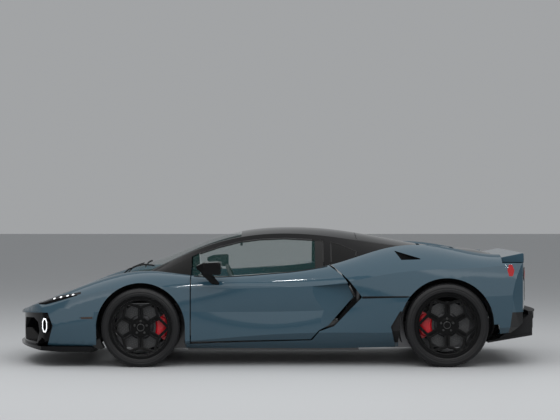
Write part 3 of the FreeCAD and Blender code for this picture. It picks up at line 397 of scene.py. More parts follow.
SOLID = {
    "exhaust_metal": worked_metal("exhaust_steel", (0.20, 0.17, 0.15), (0.42, 0.38, 0.34), 0.28, 300.0),
    "cast_alloy": worked_metal("cast_alloy", (0.22, 0.22, 0.23), (0.40, 0.40, 0.41), 0.45, 500.0),
    "engine_iron": worked_metal("engine_iron", (0.06, 0.06, 0.06), (0.14, 0.14, 0.14), 0.5, 400.0),
    "bolt_steel": worked_metal("bolt_steel", (0.03, 0.03, 0.03), (0.09, 0.09, 0.09), 0.30, 600.0),
    "disc_ceramic": worked_metal("ceramic_disc", (0.035, 0.036, 0.037), (0.085, 0.086, 0.088), 0.42, 250.0, 0.35),
    "disc_bell": worked_metal("anodised_bell", (0.020, 0.020, 0.021), (0.050, 0.050, 0.052), 0.34, 300.0),
    "caliper_red": mottled("red_enamel", 12.0, 3.0, (0.40, 0.002, 0.008), (0.56, 0.006, 0.016), 0.22, 0.10),
    "trim_rubber": mottled("trim_rubber", 20.0, 3.0, (0.004, 0.004, 0.004), (0.010, 0.010, 0.010), 0.50, 0.20,
                           specular_ior_level=0.3),
    "tyre_rubber": mottled("tyre_rubber", 9.0, 4.0, (0.003, 0.003, 0.0035), (0.007, 0.007, 0.008), 0.34, 0.16,
                           grain=(700.0, 0.0002), specular_ior_level=0.30),
    "seat_leather": leather("black_leather", (0.010, 0.010, 0.011), (0.028, 0.027, 0.027)),
    "steering_leather": leather("wheel_leather", (0.008, 0.008, 0.009), (0.020, 0.020, 0.020)),
}
FINISHES.update(SOLID)
print("finishes:", len(FINISHES))

# %% [markdown]
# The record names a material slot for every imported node, so one loop dresses them all. Two nodes then get a
# finish of their own: the tail panel is two-tone, and the fixed glass behind the doors is darker.

# %% Give every node its finish
for part in frame["record"]["subparts"]:
    node = NODES[part["node"]]
    node.data.materials.clear()
    node.data.materials.append(FINISHES[part["material_slot"]])
for node, finish in (("rear_bumper", "tail_two_tone"), ("quarter_glass", "dark_glass")):
    NODES[node].data.materials[0] = FINISHES[finish]
print("nodes dressed:", len(NODES))

# %% [markdown]
# ## Building meshes
# Every added piece is first a Shape: a list of points and a list of faces. Most car parts come from four
# moves: a grid of quads through rows of points, a profile turned about the axle, a tube along a path and a
# flat outline given depth. Small parts that repeat are gathered in one Shape, so a ring of bolts is one piece.

# %% Shapes
def turns(count, start=0.0):
    """Equal angles round a full turn, the first one start steps from zero."""
    return [math.tau * (k + start) / count for k in range(count)]


def around(radius, along, turn):
    """A point at a radius and a place along the Y axle, turned about it."""
    return (radius * math.cos(turn), along, radius * math.sin(turn))


class Shape:
    """Points and faces that are gathered before they become one mesh."""

    def __init__(self):
        self.points = []
        self.faces = []

    def add(self, points, faces):
        start = len(self.points)
        self.points += [Vector(p) for p in points]
        self.faces += [tuple(start + i for i in face) for face in faces]
        return self

    def grid(self, rows, ring=False, loop=False, caps=False):
        """Quads through rows of points; ring joins each row's ends, loop joins the last row to the first."""
        count = len(rows[0])
        faces = []
        for r in range(len(rows) if loop else len(rows) - 1):
            after = (r + 1) % len(rows)
            for c in range(count if ring else count - 1):
                right = (c + 1) % count
                faces.append((r * count + c, r * count + right, after * count + right, after * count + c))
        if caps:
            last = (len(rows) - 1) * count
            faces += [tuple(range(count)), tuple(range(last, last + count))]
        return self.add([p for row in rows for p in row], faces)

    def turned(self, profile, steps=96, closed=True):
        """A profile of (radius, along the axle) turned about the Y axis."""
        return self.grid([[around(r, w, t) for r, w in profile] for t in turns(steps)], ring=closed, loop=True)

    def tube(self, path, radius, sides=8):
        """A round bar along a path; radius may be one number or one for each point."""
        path = [Vector(p) for p in path]
        radii = radius if isinstance(radius, (list, tuple)) else [radius] * len(path)
        rows = []
        normal = None
        for i, (p, r) in enumerate(zip(path, radii)):
            ahead = (path[min(i + 1, len(path) - 1)] - path[max(i - 1, 0)]).normalized()
            if normal is None:
                normal = ahead.orthogonal()
            normal = (normal - ahead * normal.dot(ahead)).normalized()
            side = ahead.cross(normal)
            rows.append([p + r * (math.cos(t) * normal + math.sin(t) * side) for t in turns(sides)])
        return self.grid(rows, ring=True, caps=True)

    def slab(self, outline, depth):
        """A flat outline of 3D points, given depth along a vector."""
        far = [Vector(p) + Vector(depth) for p in outline]
        return self.grid([outline, far], ring=True, caps=True)

    def bar(self, x, y, z, run):
        """A square bar: (low, high) across and up, from x along by run."""
        return self.slab([(x, y[0], z[0]), (x, y[1], z[0]), (x, y[1], z[1]), (x, y[0], z[1])], (run, 0.0, 0.0))

    def join(self, other):
        return self.add(other.points, other.faces)

    def moved(self, matrix):
        copy = Shape()
        return copy.add([matrix @ p for p in self.points], self.faces)

    def mesh(self, name):
        """The gathered faces as a Blender mesh, with every face turned outwards."""
        made = bpy.data.meshes.new(name)
        made.from_pydata([tuple(p) for p in self.points], [], self.faces)
        work = bmesh.new()
        work.from_mesh(made)
        bmesh.ops.recalc_face_normals(work, faces=work.faces)
        work.to_mesh(made)
        work.free()
        return made


def across(side):
    """The matrix that keeps the left side's pieces, or mirrors them to the right."""
    return Matrix.Diagonal((1.0, side, 1.0, 1.0))


def modifier(target, kind, **settings):
    made = target.modifiers.new(kind.lower(), kind)
    for key, value in settings.items():
        setattr(made, key, value)
    return made


def bevelled(target, width, crease):
    """Rounds the edges that are sharper than crease, in degrees."""
    return modifier(target, "BEVEL", width=width, segments=2, limit_method="ANGLE",
                    angle_limit=math.radians(crease))


def placed(name, mesh):
    """A new object in the scene."""
    made = bpy.data.objects.new(name, mesh)
    bpy.context.scene.collection.objects.link(made)
    return made


def piece(name, shape, finish, body="car_body", slot=None, crease=35.0, bevel=0.0, replaces=()):
    """Turns a Shape into a finished object that moves with a body; slot is not used."""
    mesh = shape.mesh(name)
    mesh.shade_smooth()
    mesh.set_sharp_from_angle(angle=math.radians(crease))
    mesh.materials.append(FINISHES[finish])
    made = placed(name, mesh)
    if bevel:
        bevelled(made, bevel, crease)
    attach(made, body)
    slot or finish
    if replaces:
        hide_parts(*replaces)
    return made


print("shape tools ready")

# %% [markdown]
# Honeycomb needs to know which cells lie inside an opening, and pieces that follow a panel need its surface. A
# BVH tree holds a mesh's faces so that a ray sent at them is answered at once.

# %% Honeycomb and skins
def in_polygon(point, outline):
    """Whether a 2D point lies inside an outline."""
    inside = False
    for (ax, ay), (bx, by) in zip(outline, outline[1:] + outline[:1]):
        if (ay > point[1]) != (by > point[1]) and point[0] < (bx - ax) * (point[1] - ay) / (by - ay) + ax:
            inside = not inside
    return inside


def honeycomb(outline, pitch, wall):
    """Six-sided cells, as pairs of 2D rings (outer, inner), whose middles lie inside an outline."""
    low = [min(p[i] for p in outline) for i in (0, 1)]
    high = [max(p[i] for p in outline) for i in (0, 1)]
    cells = []
    rise = pitch * math.sqrt(3.0) / 2.0
    for row in range(int((high[1] - low[1]) / rise) + 1):
        for column in range(int((high[0] - low[0]) / pitch) + 2):
            middle = (low[0] + (column + 0.5 * (row % 2)) * pitch, low[1] + (row + 0.5) * rise)
            if in_polygon(middle, outline):
                cells.append([[(middle[0] + radius * math.cos(t), middle[1] + radius * math.sin(t))
                               for t in turns(6, 0.5)]
                              for radius in (pitch / math.sqrt(3.0), (pitch - 2 * wall) / math.sqrt(3.0))])
    return cells


def skin_of(node):
    """A tree of a CAD node's faces that rays can be sent against."""
    mesh = NODES[node].data
    return BVHTree.FromPolygons([v.co for v in mesh.vertices], [tuple(p.vertices) for p in mesh.polygons])


print("honeycomb and ray tools ready")

# %% [markdown]
# The imported wheels, spoiler and mirrors have knife-sharp edges where real ones are machined or moulded. Their
# points are welded so that faces share edges, and each sharp edge is rounded by a few millimetres. On a rim the
# rounded edge gets a lighter colour, a painted highlight, because that bright line is what draws the spokes.

# %% Rounded edges on the imported nodes
WELD_WITHIN = 0.00001
EDGE_ANGLE = 30.0
RIM_EDGE = 0.0022
ROUNDED = {"spoiler": 0.0060, "mirror_left": 0.0050, "mirror_right": 0.0050}
ROUNDED.update({node: RIM_EDGE for node in NODES if node.startswith("rim_")})

for node, width in ROUNDED.items():
    modifier(NODES[node], "WELD", merge_threshold=WELD_WITHIN)
    rounding = bevelled(NODES[node], width, EDGE_ANGLE)
    # on a rim the rounded edges take the lighter colour, a painted highlight
    if node.startswith("rim_"):
        NODES[node].data.materials.append(FINISHES["painted_edge_highlight"])
        rounding.material = len(NODES[node].data.materials) - 1
print("rounded nodes:", len(ROUNDED))

# %% [markdown]
# The front lip is a thin blade whose underside rises towards its tip, and above it the nose falls away to an
# edge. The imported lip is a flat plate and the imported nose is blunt, so a wedge is taken from each by a
# boolean, which leaves their plans as they are.

# %% Wedges cut from the lip and the nose
CUT_HALF = 1.2
PAST = 0.05
LIP_WEDGE_FROM, LIP_TIP_RISE = 1.860, 0.042
NOSE_FROM, NOSE_TOP, NOSE_FALL = 2.232, 0.4995, 0.53
NOSE_CLEAR = 0.70


def cut_away(node, tool_name, outline):
    """Cuts a prism that runs across the car, drawn from the side, out of a node."""
    shape = Shape().slab([(x, -CUT_HALF, z) for x, z in outline], (0.0, 2.0 * CUT_HALF, 0.0))
    tool = placed(tool_name, shape.mesh(tool_name))
    tool.hide_render = tool.hide_viewport = True
    modifier(NODES[node], "WELD", merge_threshold=WELD_WITHIN)
    modifier(NODES[node], "BOOLEAN", operation="DIFFERENCE", object=tool, solver="EXACT")


def nose_height(x):
    return NOSE_TOP - NOSE_FALL * (x - NOSE_FROM)


(_, _, lip_foot), (lip_tip, _, _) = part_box("front_splitter")
lip_past = lip_tip + PAST
cut_away("front_splitter", "lip_wedge", [
    (LIP_WEDGE_FROM, lip_foot - PAST), (LIP_WEDGE_FROM, lip_foot), (lip_past, lip_foot + LIP_TIP_RISE),
    (lip_past, lip_foot - PAST)])
nose_start, nose_past = NOSE_FROM - PAST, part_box("front_bumper")[1][0] + PAST
cut_away("front_bumper", "nose_wedge", [
    (nose_start, nose_height(nose_start)), (nose_past, nose_height(nose_past)), (nose_past, NOSE_CLEAR),
    (nose_start, NOSE_CLEAR)])
print("lip thinned from x", LIP_WEDGE_FROM, "and nose from x", NOSE_FROM)

# %% [markdown]
# The nose is a shell, so its cut leaves a slot. A thin painted skin closes it: at each station across the car,
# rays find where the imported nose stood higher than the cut, and the skin spans just that stretch.

# %% Skin over the cut nose
NOSE_STATIONS, NOSE_HALF, NOSE_STEP, NOSE_TRIES = 49, 0.72, 0.002, 90
SKIN_LIFT, SKIN_THICK, SKIN_INSET = 0.0004, 0.004, 0.0004
nose_tree = skin_of("front_bumper")


def above_cut(x, y):
    """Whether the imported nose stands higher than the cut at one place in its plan."""
    place = nose_tree.ray_cast(Vector((x, y, 1.0)), Vector((0.0, 0.0, -1.0)))[0]
    return place is not None and place.z > nose_height(x) + 0.0002


rows = []
for k in range(NOSE_STATIONS):
    y = NOSE_HALF * (2.0 * k / (NOSE_STATIONS - 1) - 1.0)
    reach = [x for x in (nose_start + NOSE_STEP * i for i in range(NOSE_TRIES)) if above_cut(x, y)]
    if reach:
        ahead = Vector((3.0, y, nose_height(max(reach)) - 0.001))
        back = min(reach) - NOSE_STEP
        front = nose_tree.ray_cast(ahead, Vector((-1.0, 0.0, 0.0)))[0].x - SKIN_INSET
        rows.append([(x, y, nose_height(x) + lift) for x, lift in (
            (back, SKIN_LIFT), (front, SKIN_LIFT), (front, -SKIN_THICK), (back, -SKIN_THICK))])
piece("nose_skin", Shape().grid(rows, ring=True, caps=True), "body_paint")
print("nose stations:", len(rows))

# %% [markdown]
# ## Wheels
# The four corners share one recipe, drawn at the origin with the outside of the wheel towards +Y, then moved
# to its hub. The hub's place, the tyre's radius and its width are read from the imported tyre.

# %% Corners of the car
RIM_RADIUS = {"front": 0.2540, "rear": 0.2667}
HUB_SET_BACK = 0.098


def corner(axle, side_name, side):
    tag = f"{axle}_{side_name}"
    low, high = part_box("tyre_" + tag)
    middle = (Vector(low) + Vector(high)) / 2.0
    return {
        "axle": axle,
        "side": side_name,
        "tag": tag,
        "wheel": "wheel_" + tag,
        "radius": (high[2] - low[2]) / 2.0,
        "half": (high[1] - low[1]) / 2.0,
        "rim": RIM_RADIUS[axle],
        "matrix": Matrix.Translation(middle) @ across(side),
    }


CORNERS = [corner(axle, *side) for axle in ("front", "rear") for side in SIDES]
print("tyre radii:", [round(c["radius"], 4) for c in CORNERS])

# %% [markdown]
# ### Tyres
# A tyre is a turned section, so its carcass is one profile spun round the axle: bead, rim protector, a
# sidewall with fine rings and a rounded shoulder. The tread is real blocks on a slightly smaller drum, which
# gives open grooves: five ribs, cut at a slant into some seventy pitches.

# %% Tyres
TREAD_DEPTH = 0.006
TREAD_PITCHES = 72
TREAD_CUT = 0.10
TREAD_EDGE, BLOCK_SINK, BLOCK_LOW, SHOULDER_DROP = 0.012, 0.001, 0.0006, 0.0022
BEAD_RISE = 0.0172
TYRE_STEPS = 144
#        from,  to (shares of the half width), slant of the cut in pitches
TREAD_RIBS = [(-0.90, -0.58, -0.30), (-0.52, -0.20, -0.45), (-0.14, 0.14, 0.0), (0.20, 0.52, 0.45),
              (0.58, 0.90, 0.30)]


def tyre_profile(c):
    """(radius, across) from the inner bead round the outside to the outer bead, for one half."""
    half, top, bead = c["half"], c["radius"], c["rim"] + BEAD_RISE
    wall = top - bead
    drum = top - TREAD_DEPTH
    side = [(c["rim"] + 0.0004, half - 0.0215), (bead - 0.001, half - 0.0168), (bead + 0.002, half - 0.006),
            (bead + 0.10 * wall, half - 0.0015), (bead + 0.17 * wall, half - 0.0004),
            (bead + 0.20 * wall, half - 0.0030)]
    for share in (0.30, 0.33, 0.36, 0.52, 0.55, 0.58):
        rise = 0.0012 if share in (0.33, 0.55) else 0.0
        side.append((bead + share * wall, half - 0.0022 + rise))
    side += [(bead + 0.70 * wall, half - 0.0035), (bead + 0.80 * wall, half - 0.0070),
             (bead + 0.88 * wall, half - 0.0125), (drum - 0.001, half - 0.021), (drum, half - 0.030)]
    return side


def tyre(c):
    shape = Shape()
    side = tyre_profile(c)
    shape.turned([(r, -w) for r, w in side] + side[::-1], steps=TYRE_STEPS)
    half, drum, top = c["half"] - TREAD_EDGE, c["radius"] - TREAD_DEPTH - BLOCK_SINK, c["radius"] - BLOCK_LOW
    for start, end, slant in TREAD_RIBS:
        for k in range(TREAD_PITCHES):
            rows = []
            for across_share, lean in ((start, 0.0), (end, slant)):
                shoulder = SHOULDER_DROP * max(0.0, abs(across_share) - 0.5) / 0.4
                for pitch in (TREAD_CUT, 1.0 - TREAD_CUT):
                    turn = math.tau * (k + pitch + lean) / TREAD_PITCHES
                    rows += [around(r, across_share * half, turn) for r in (drum - shoulder, top - shoulder)]
            # the points come as start/end of the rib, then the pitch's two ends, then foot and top
            shape.add(rows, [(1, 3, 7, 5), (0, 4, 6, 2), (0, 1, 5, 4), (2, 6, 7, 3), (0, 2, 3, 1),
                             (4, 5, 7, 6)])
    return shape


for c in CORNERS:
    made = piece("tread_" + c["tag"], tyre(c).moved(c["matrix"]), "tyre_rubber", c["wheel"], crease=50.0,
                 replaces=("tyre_" + c["tag"],))
    print(made.name, len(made.data.polygons), "faces")

# %% [markdown]
# ### Brake discs
# Carbon-ceramic discs are drilled right through, so they aren't faked with a dark spot: each cell of a polar
# grid is either plain or a small ring of quads round a hole, with the hole's wall behind it. Two plates leave
# a slot between them, bridged by vanes, and the bell is bolted in the middle.

# %% Brake discs
DISC_OUTER, DISC_INNER = 0.2000, 0.1100
DISC_RINGS, DISC_SPOKES = 6, 72
PLATE = 0.0115
HOLE = 0.0032
VANES, VANE_SWEEP, VANE_THICK = 48, 1.6, 0.003
DISC_THICK = 0.033
DISC_BEHIND, BELL_BEHIND = 0.0045, 0.0005
BELL_BOLTS, BELL_BOLT_CIRCLE = 10, 0.105


def disc_plate(face, back):
    """One drilled plate between two heights along the axle."""
    shape = Shape()
    step = (DISC_OUTER - DISC_INNER) / DISC_RINGS
    fan = math.tau / DISC_SPOKES
    for ring in range(DISC_RINGS):
        for spoke in range(DISC_SPOKES):
            r0, a0 = DISC_INNER + ring * step, spoke * fan
            outline = [(0, 0), (0.5, 0), (1, 0), (1, 0.5), (1, 1), (0.5, 1), (0, 1), (0, 0.5)]
            edge = [((r0 + u * step), (a0 + v * fan)) for u, v in outline]
            edge = [(r * math.cos(a), r * math.sin(a)) for r, a in edge]
            if (ring + spoke) % 2 or ring in (0, DISC_RINGS - 1) and spoke % 4:
                for w in (face, back):
                    shape.add([(x, w, z) for x, z in edge], [tuple(range(8))])
                continue
            r, a = r0 + 0.5 * step, a0 + 0.5 * fan
            hole = []
            for u, v in outline:
                turn = math.atan2(v - 0.5, u - 0.5) + a
                hole.append((r * math.cos(a) + HOLE * math.cos(turn), r * math.sin(a) + HOLE * math.sin(turn)))
            shape.grid([[(x, w, z) for x, z in line]
                        for line, w in ((edge, face), (hole, face), (hole, back), (edge, back))], ring=True)
    for r in (DISC_INNER, DISC_OUTER):
        shape.turned([(r, face), (r, back)], steps=DISC_SPOKES * 2, closed=False)
    return shape


def brake_disc(c):
    face = c["half"] - HUB_SET_BACK - DISC_BEHIND
    back = face - DISC_THICK
    shape = disc_plate(face, face - PLATE).join(disc_plate(back + PLATE, back))
    near, far = DISC_INNER + 0.002, DISC_OUTER - 0.002
    for turn in turns(VANES):
        vane = [around(r, w, turn + VANE_SWEEP * (r - DISC_INNER)) for r, w in (
            (near, face - PLATE), (far, face - PLATE), (far, back + PLATE), (near, back + PLATE))]
        shape.slab(vane, Vector((-math.sin(turn), 0.0, math.cos(turn))) * VANE_THICK)
    return shape


def disc_bell(c):
    face = c["half"] - HUB_SET_BACK - BELL_BEHIND
    shape = Shape().turned([(0.036, face - 0.012), (0.036, face), (0.094, face), (0.100, face - 0.003),
                            (0.112, face - 0.009), (0.112, face - 0.012)], steps=72)
    for turn in turns(BELL_BOLTS):
        middle = Vector(around(BELL_BOLT_CIRCLE, face - 0.008, turn))
        shape.tube([middle, middle + Vector((0, 0.0075, 0))], 0.0045, sides=6)
    return shape


for c in CORNERS:
    made = piece("drilled_disc_" + c["tag"], brake_disc(c).moved(c["matrix"]), "disc_ceramic", c["wheel"],
                 crease=40.0, replaces=("brake_disc_" + c["tag"],))
    piece("disc_bell_" + c["tag"], disc_bell(c).moved(c["matrix"]), "disc_bell", c["wheel"], slot="cast_alloy")
    print(made.name, len(made.data.polygons), "faces")

# %% [markdown]
# ### Calipers
# A monobloc caliper is a bridge over the disc with a row of piston bores on each side. Its cross-section, in
# radius and along the axle, is swept round the disc; the ends taper, the bores stand out as low drums, and
# ribs tie the two halves over the top. It stays with the knuckle, so it steers but doesn't spin.

# %% Calipers
CALIPER_HALF_SWEEP = math.radians(28.0)
CALIPER_INNER, CALIPER_RIM_CLEAR, CALIPER_STATIONS = 0.131, 0.0195, 17
BRIDGE_INNER = 0.2075
BRIDGES = (-0.88, -0.45, 0.0, 0.45, 0.88)
BORES = ((-0.62, 0.0175), (0.0, 0.020), (0.62, 0.0175))


def caliper(c):
    face = c["half"] - HUB_SET_BACK
    outer = c["rim"] - CALIPER_RIM_CLEAR
    middle = math.pi if c["axle"] == "front" else 0.0
    shape = Shape()
    for low, high, soft in ((face + 0.0025, face + 0.0215, 1.0), (face - 0.0635, face - 0.0445, -1.0)):
        rows = []
        for k in range(CALIPER_STATIONS):
            share = 2.0 * k / (CALIPER_STATIONS - 1) - 1.0
            taper = 1.0 - 0.30 * abs(share) ** 4
            turn = middle + share * CALIPER_HALF_SWEEP
            top = CALIPER_INNER + (outer - CALIPER_INNER) * taper
            foot = CALIPER_INNER + 0.008 * abs(share) ** 3
            near, far = (low, high) if soft > 0 else (high, low)
            section = [(foot, near), (top, near), (top, far - 0.008 * soft), (top - 0.012, far),
                       (foot + 0.014, far), (foot, far - 0.010 * soft)]
            rows.append([around(r, w, turn) for r, w in section])
        shape.grid(rows, ring=True, caps=True)
    for share in BRIDGES:
        wide = 0.085 if abs(share) > 0.8 else 0.04
        rows = []
        for lean in (-wide, wide):
            turn = middle + share * CALIPER_HALF_SWEEP + lean * CALIPER_HALF_SWEEP * 2.0
            section = [(BRIDGE_INNER, face - 0.046), (outer - 0.001, face - 0.046), (outer - 0.001, face + 0.005),
                       (BRIDGE_INNER, face + 0.005)]
            rows.append([around(r, w, turn) for r, w in section])
        shape.grid(rows, ring=True, caps=True)
    for share, bore in BORES:
        x, _, z = around(CALIPER_INNER + 0.042, 0.0, middle + share * CALIPER_HALF_SWEEP)
        rings = [[(x + radius * math.cos(a), w, z + radius * math.sin(a)) for a in turns(24)] for radius, w in (
            (bore + 0.003, face + 0.0185), (bore, face + 0.0212), (bore - 0.004, face + 0.0216),
            (bore - 0.006, face + 0.0200))]
        shape.grid(rings, ring=True, caps=True)
    return shape


for c in CORNERS:
    front = c["axle"] == "front"
    piece(f"caliper_{c['tag']}_cast", caliper(c).moved(c["matrix"]), "caliper_red",
          "knuckle_" + c["side"] if front else "car_body", bevel=0.0015,
          replaces=("caliper_" + c["tag"] if front else "rear_calipers",))
print("calipers:", len(CORNERS))

# %% [markdown]
# ### Hub, bolts and valve
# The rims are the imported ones. What a fastening needs goes on top: five bolts in their seats round a closed
# cap with a machined ring, and the valve that stands out of the barrel between two spokes.

# %% Hub details
RIM_LIP = 0.008
WHEEL_BOLTS, BOLT_CIRCLE, SEAT_DEPTH = 5, 0.055, 0.034
VALVE_TURN = math.radians(63.0)


def hub_details(c):
    seat = c["half"] - RIM_LIP - SEAT_DEPTH
    shape = Shape()
    shape.turned([(0.0270, seat + 0.0015), (0.0270, seat + 0.0035), (0.0300, seat + 0.0042),
                  (0.0325, seat + 0.0030), (0.0325, seat + 0.0015)], steps=48)
    for turn in turns(WHEEL_BOLTS, 0.25):
        x, _, z = around(BOLT_CIRCLE, 0.0, turn)
        shape.grid([[(x + r * math.cos(a), seat + w, z + r * math.sin(a)) for a in turns(20)] for r, w in (
            (0.0120, 0.0004), (0.0120, 0.0024), (0.0105, 0.0036), (0.0092, 0.0012))], ring=True)
        shape.tube([(x, seat + 0.0005, z), (x, seat + 0.0085, z), (x, seat + 0.0095, z)], [0.0088, 0.0088, 0.0078],
                   sides=6)
    return shape


def valve(c):
    foot = Vector(around(c["rim"] - 0.014, c["half"] - RIM_LIP - 0.050, VALVE_TURN))
    lean = Vector(around(-0.006, 0.034, VALVE_TURN))
    return Shape().tube([foot + share * lean for share in (0.0, 0.55, 0.56, 1.0)], [0.0032, 0.0032, 0.0044, 0.0040],
                        sides=10)


for c in CORNERS:
    for name, shape in (("hub_bolts_", hub_details(c)), ("valve_", valve(c))):
        piece(name + c["tag"], shape.moved(c["matrix"]), "bolt_steel", c["wheel"], slot="cast_alloy")
print("hubs fitted:", len(CORNERS))

# %% [markdown]
# ## Lamps
# A lamp's solid already has the right outline, so its own faces are sorted: those that look outwards become
# the lens, and the rest the dark housing behind it. The same sorting serves the slit lamps, the six-sided
# running lamps and the tail lamps.

# %% Lens and housing from a node
def sorted_faces(node, outwards, limit, wanted):
    """(faces that look outwards, the other faces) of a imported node, as two Shapes."""
    mesh = NODES[node].data
    fronts, rest = Shape(), Shape()
    for polygon in mesh.polygons:
        if not wanted(polygon.center):
            continue
        target = fronts if polygon.normal.dot(outwards(polygon.center)) > limit else rest
        corners = [mesh.vertices[i].co for i in polygon.vertices]
        target.add(corners, [tuple(range(len(corners)))])
    return fronts, rest


def side_out(middle):
    return Vector((0.3, math.copysign(0.8, middle.y), 0.5)).normalized()


def nose_out(middle):
    return Vector((math.cos(0.65), math.copysign(math.sin(0.65), middle.y), 0.0))


def tail_out(middle):
    return Vector((-0.35, math.copysign(0.93, middle.y), 0.1)).normalized()


RING_LAMPS_BELOW = 0.50
#    node, outwards, limit, which faces; then the lens's name and finish, and the case's name
LAMPS_TO_SORT = [
    ("headlamps", side_out, 0.45, lambda m: m.z > RING_LAMPS_BELOW, "headlamp_lenses", "lamp_clear",
     "headlamp_housings"),
    ("headlamps", nose_out, 0.8, lambda m: m.z < RING_LAMPS_BELOW, "running_lamp_rings", "lamp_glow",
     "running_lamp_cases"),
    ("tail_lamps", tail_out, 0.6, lambda m: True, "tail_lamp_lenses", "lamp_red", "tail_lamp_housings"),
]
for node, outwards, limit, wanted, lens_name, glass, case_name in LAMPS_TO_SORT:
    lens, case = sorted_faces(node, outwards, limit, wanted)
    piece(lens_name, lens, glass, slot="lamp_clear" if glass == "lamp_glow" else glass, replaces=(node,))
    piece(case_name, case, "gloss_black", replaces=(node,))
    print(lens_name, len(lens.faces), "faces")

# %% [markdown]
# Four small projectors sit in each slit lamp. Each is a six-sided collar round a bright lens, set square to
# the skin: a ray sent in from the side finds the skin's place and its normal there.

# %% Projectors
OUTSIDE = 1.6


def on_skin(tree, x, z, side):
    """(place, outward normal) where a ray from the side at (x, z) meets the skin, or None."""
    place, normal, _, _ = tree.ray_cast(Vector((x, side * OUTSIDE, z)), Vector((0.0, -side, 0.0)))
    if place is None:
        return None
    return place, (normal if normal.y * side > 0 else -normal)


def collar(place, normal, radius, height, sides, shape, hollow=0.0):
    """A short frustum standing on the skin; hollow sinks its middle."""
    first = normal.orthogonal().normalized()
    second = normal.cross(first)
    shape.grid([[place + normal * h + r * (math.cos(t) * first + math.sin(t) * second) for t in turns(sides)]
                for r, h in ((radius, -0.002), (radius, 0.6 * height), (0.82 * radius, height),
                             (0.62 * radius, height - hollow))], ring=True, caps=True)


PROJECTORS = [(1.955, 0.5865), (1.895, 0.6005), (1.835, 0.6130), (1.785, 0.6230)]
lamp_skin = skin_of("headlamps")
collars, bulbs = Shape(), Shape()
for _, side in SIDES:
    for x, z in PROJECTORS:
        found = on_skin(lamp_skin, x, z, side)
        if found:
            collar(*found, 0.0160, 0.0022, 6, collars, 0.001)
            collar(*found, 0.0120, 0.0030, 12, bulbs)
piece("headlamp_collars", collars, "bolt_steel", slot="lamp_clear")
piece("headlamp_projectors", bulbs, "lamp_glow", slot="lamp_clear")
print("projectors:", len(PROJECTORS) * 2)

# %% [markdown]
# ## Grilles
# The three openings of the nose, the shoulder intakes and the side ducts are closed by honeycomb. Each cell is
# a six-sided tube with a thin wall; cells whose middle falls outside the opening are left out.

# %% Nose grilles
NOSE_MIDDLE = [(0.240, 0.212), (0.285, 0.300), (0.240, 0.378), (-0.240, 0.378), (-0.285, 0.300), (-0.240, 0.212)]
NOSE_CORNER = [(0.390, 0.205), (0.350, 0.300), (0.400, 0.398), (0.650, 0.405), (0.690, 0.370), (0.705, 0.300),
               (0.670, 0.225)]
NOSE_GRILLES = [(NOSE_MIDDLE, 2.250), (NOSE_CORNER, 2.098), ([(-y, z) for y, z in NOSE_CORNER], 2.098)]
#                                       pitch, wall
NOSE_COMB, INTAKE_COMB, DUCT_COMB = (0.030, 0.0016), (0.020, 0.0012), (0.022, 0.0014)


def comb(outline, cell, place):
    """Cells as tubes; place turns a 2D point and a depth, 0 or 1, into the point on the car."""
    shape = Shape()
    for outer, inner in honeycomb(outline, *cell):
        rows = [[place(p, depth) for p in ring] for ring, depth in ((outer, 1), (inner, 1), (inner, 0), (outer, 0))]
        shape.grid(rows, ring=True, loop=True)
    return shape


nose_combs = Shape()
for outline, front in NOSE_GRILLES:
    nose_combs.join(comb(outline, NOSE_COMB, lambda p, depth: (front - (0.0 if depth else 0.010), *p)))
piece("nose_grilles", nose_combs, "matt_black", crease=25.0)
print("nose grille faces:", len(nose_combs.faces))

# %% [markdown]
# An open intake would show daylight through the body, so each has a black back. The shoulder intake needs only a
# plate. The side duct, behind the door, also gets a wall along its own rear edge, which reaches out to the
# inside of the quarter.

# %% Intakes and side ducts
INTAKE = [(-1.022, 0.998), (-1.076, 0.930), (-1.232, 0.936)]
INTAKE_BACK = [(-1.005, 1.012), (-1.06, 0.915), (-1.25, 0.92), (-1.25, 0.95)]
DUCT_FRONT = [(-0.475, 0.345), (-0.676, 0.608), (-0.618, 0.732), (-0.575, 0.800)]
DUCT = [(-0.590, 0.800), (-0.640, 0.735), (-0.752, 0.608), (-0.520, 0.330), *DUCT_FRONT]
#            x, z of the rear wall's foot, and how far out it reaches
DUCT_REAR = [(-0.590, 0.830, 0.880), (-0.664, 0.746, 0.922), (-0.780, 0.608, 0.925), (-0.530, 0.312, 0.915)]
INTAKE_COMB_Y, INTAKE_BACK_Y = 0.775, 0.762
DUCT_COMB_Y, DUCT_BACK_Y, DUCT_WALL_Y, DUCT_WALL = 0.802, 0.800, 0.796, 0.004

for side_name, side in SIDES:
    shape = comb(INTAKE, INTAKE_COMB, lambda p, depth: (p[0], side * (INTAKE_COMB_Y + 0.006 * depth), p[1]))
    shape.slab([(x, side * INTAKE_BACK_Y, z) for x, z in INTAKE_BACK], (0.0, side * -0.004, 0.0))
    piece("shoulder_grille_" + side_name, shape, "matt_black", crease=25.0)
    back = [(x, z) for x, z, _ in DUCT_REAR] + DUCT_FRONT
    duct = Shape().slab([(x, side * DUCT_BACK_Y, z) for x, z in back], (0.0, side * -0.006, 0.0))
    duct.join(comb(DUCT, DUCT_COMB, lambda p, depth: (p[0], side * (DUCT_COMB_Y + 0.005 * depth), p[1])))
    duct.grid([[(x, side * DUCT_WALL_Y, z), (x, side * out, z), (x - DUCT_WALL, side * out, z),
                (x - DUCT_WALL, side * DUCT_WALL_Y, z)] for x, z, out in DUCT_REAR], ring=True, caps=True)
    piece("side_duct_" + side_name, duct, "matt_black", crease=25.0)
print("intakes backed:", 2 * len(SIDES))
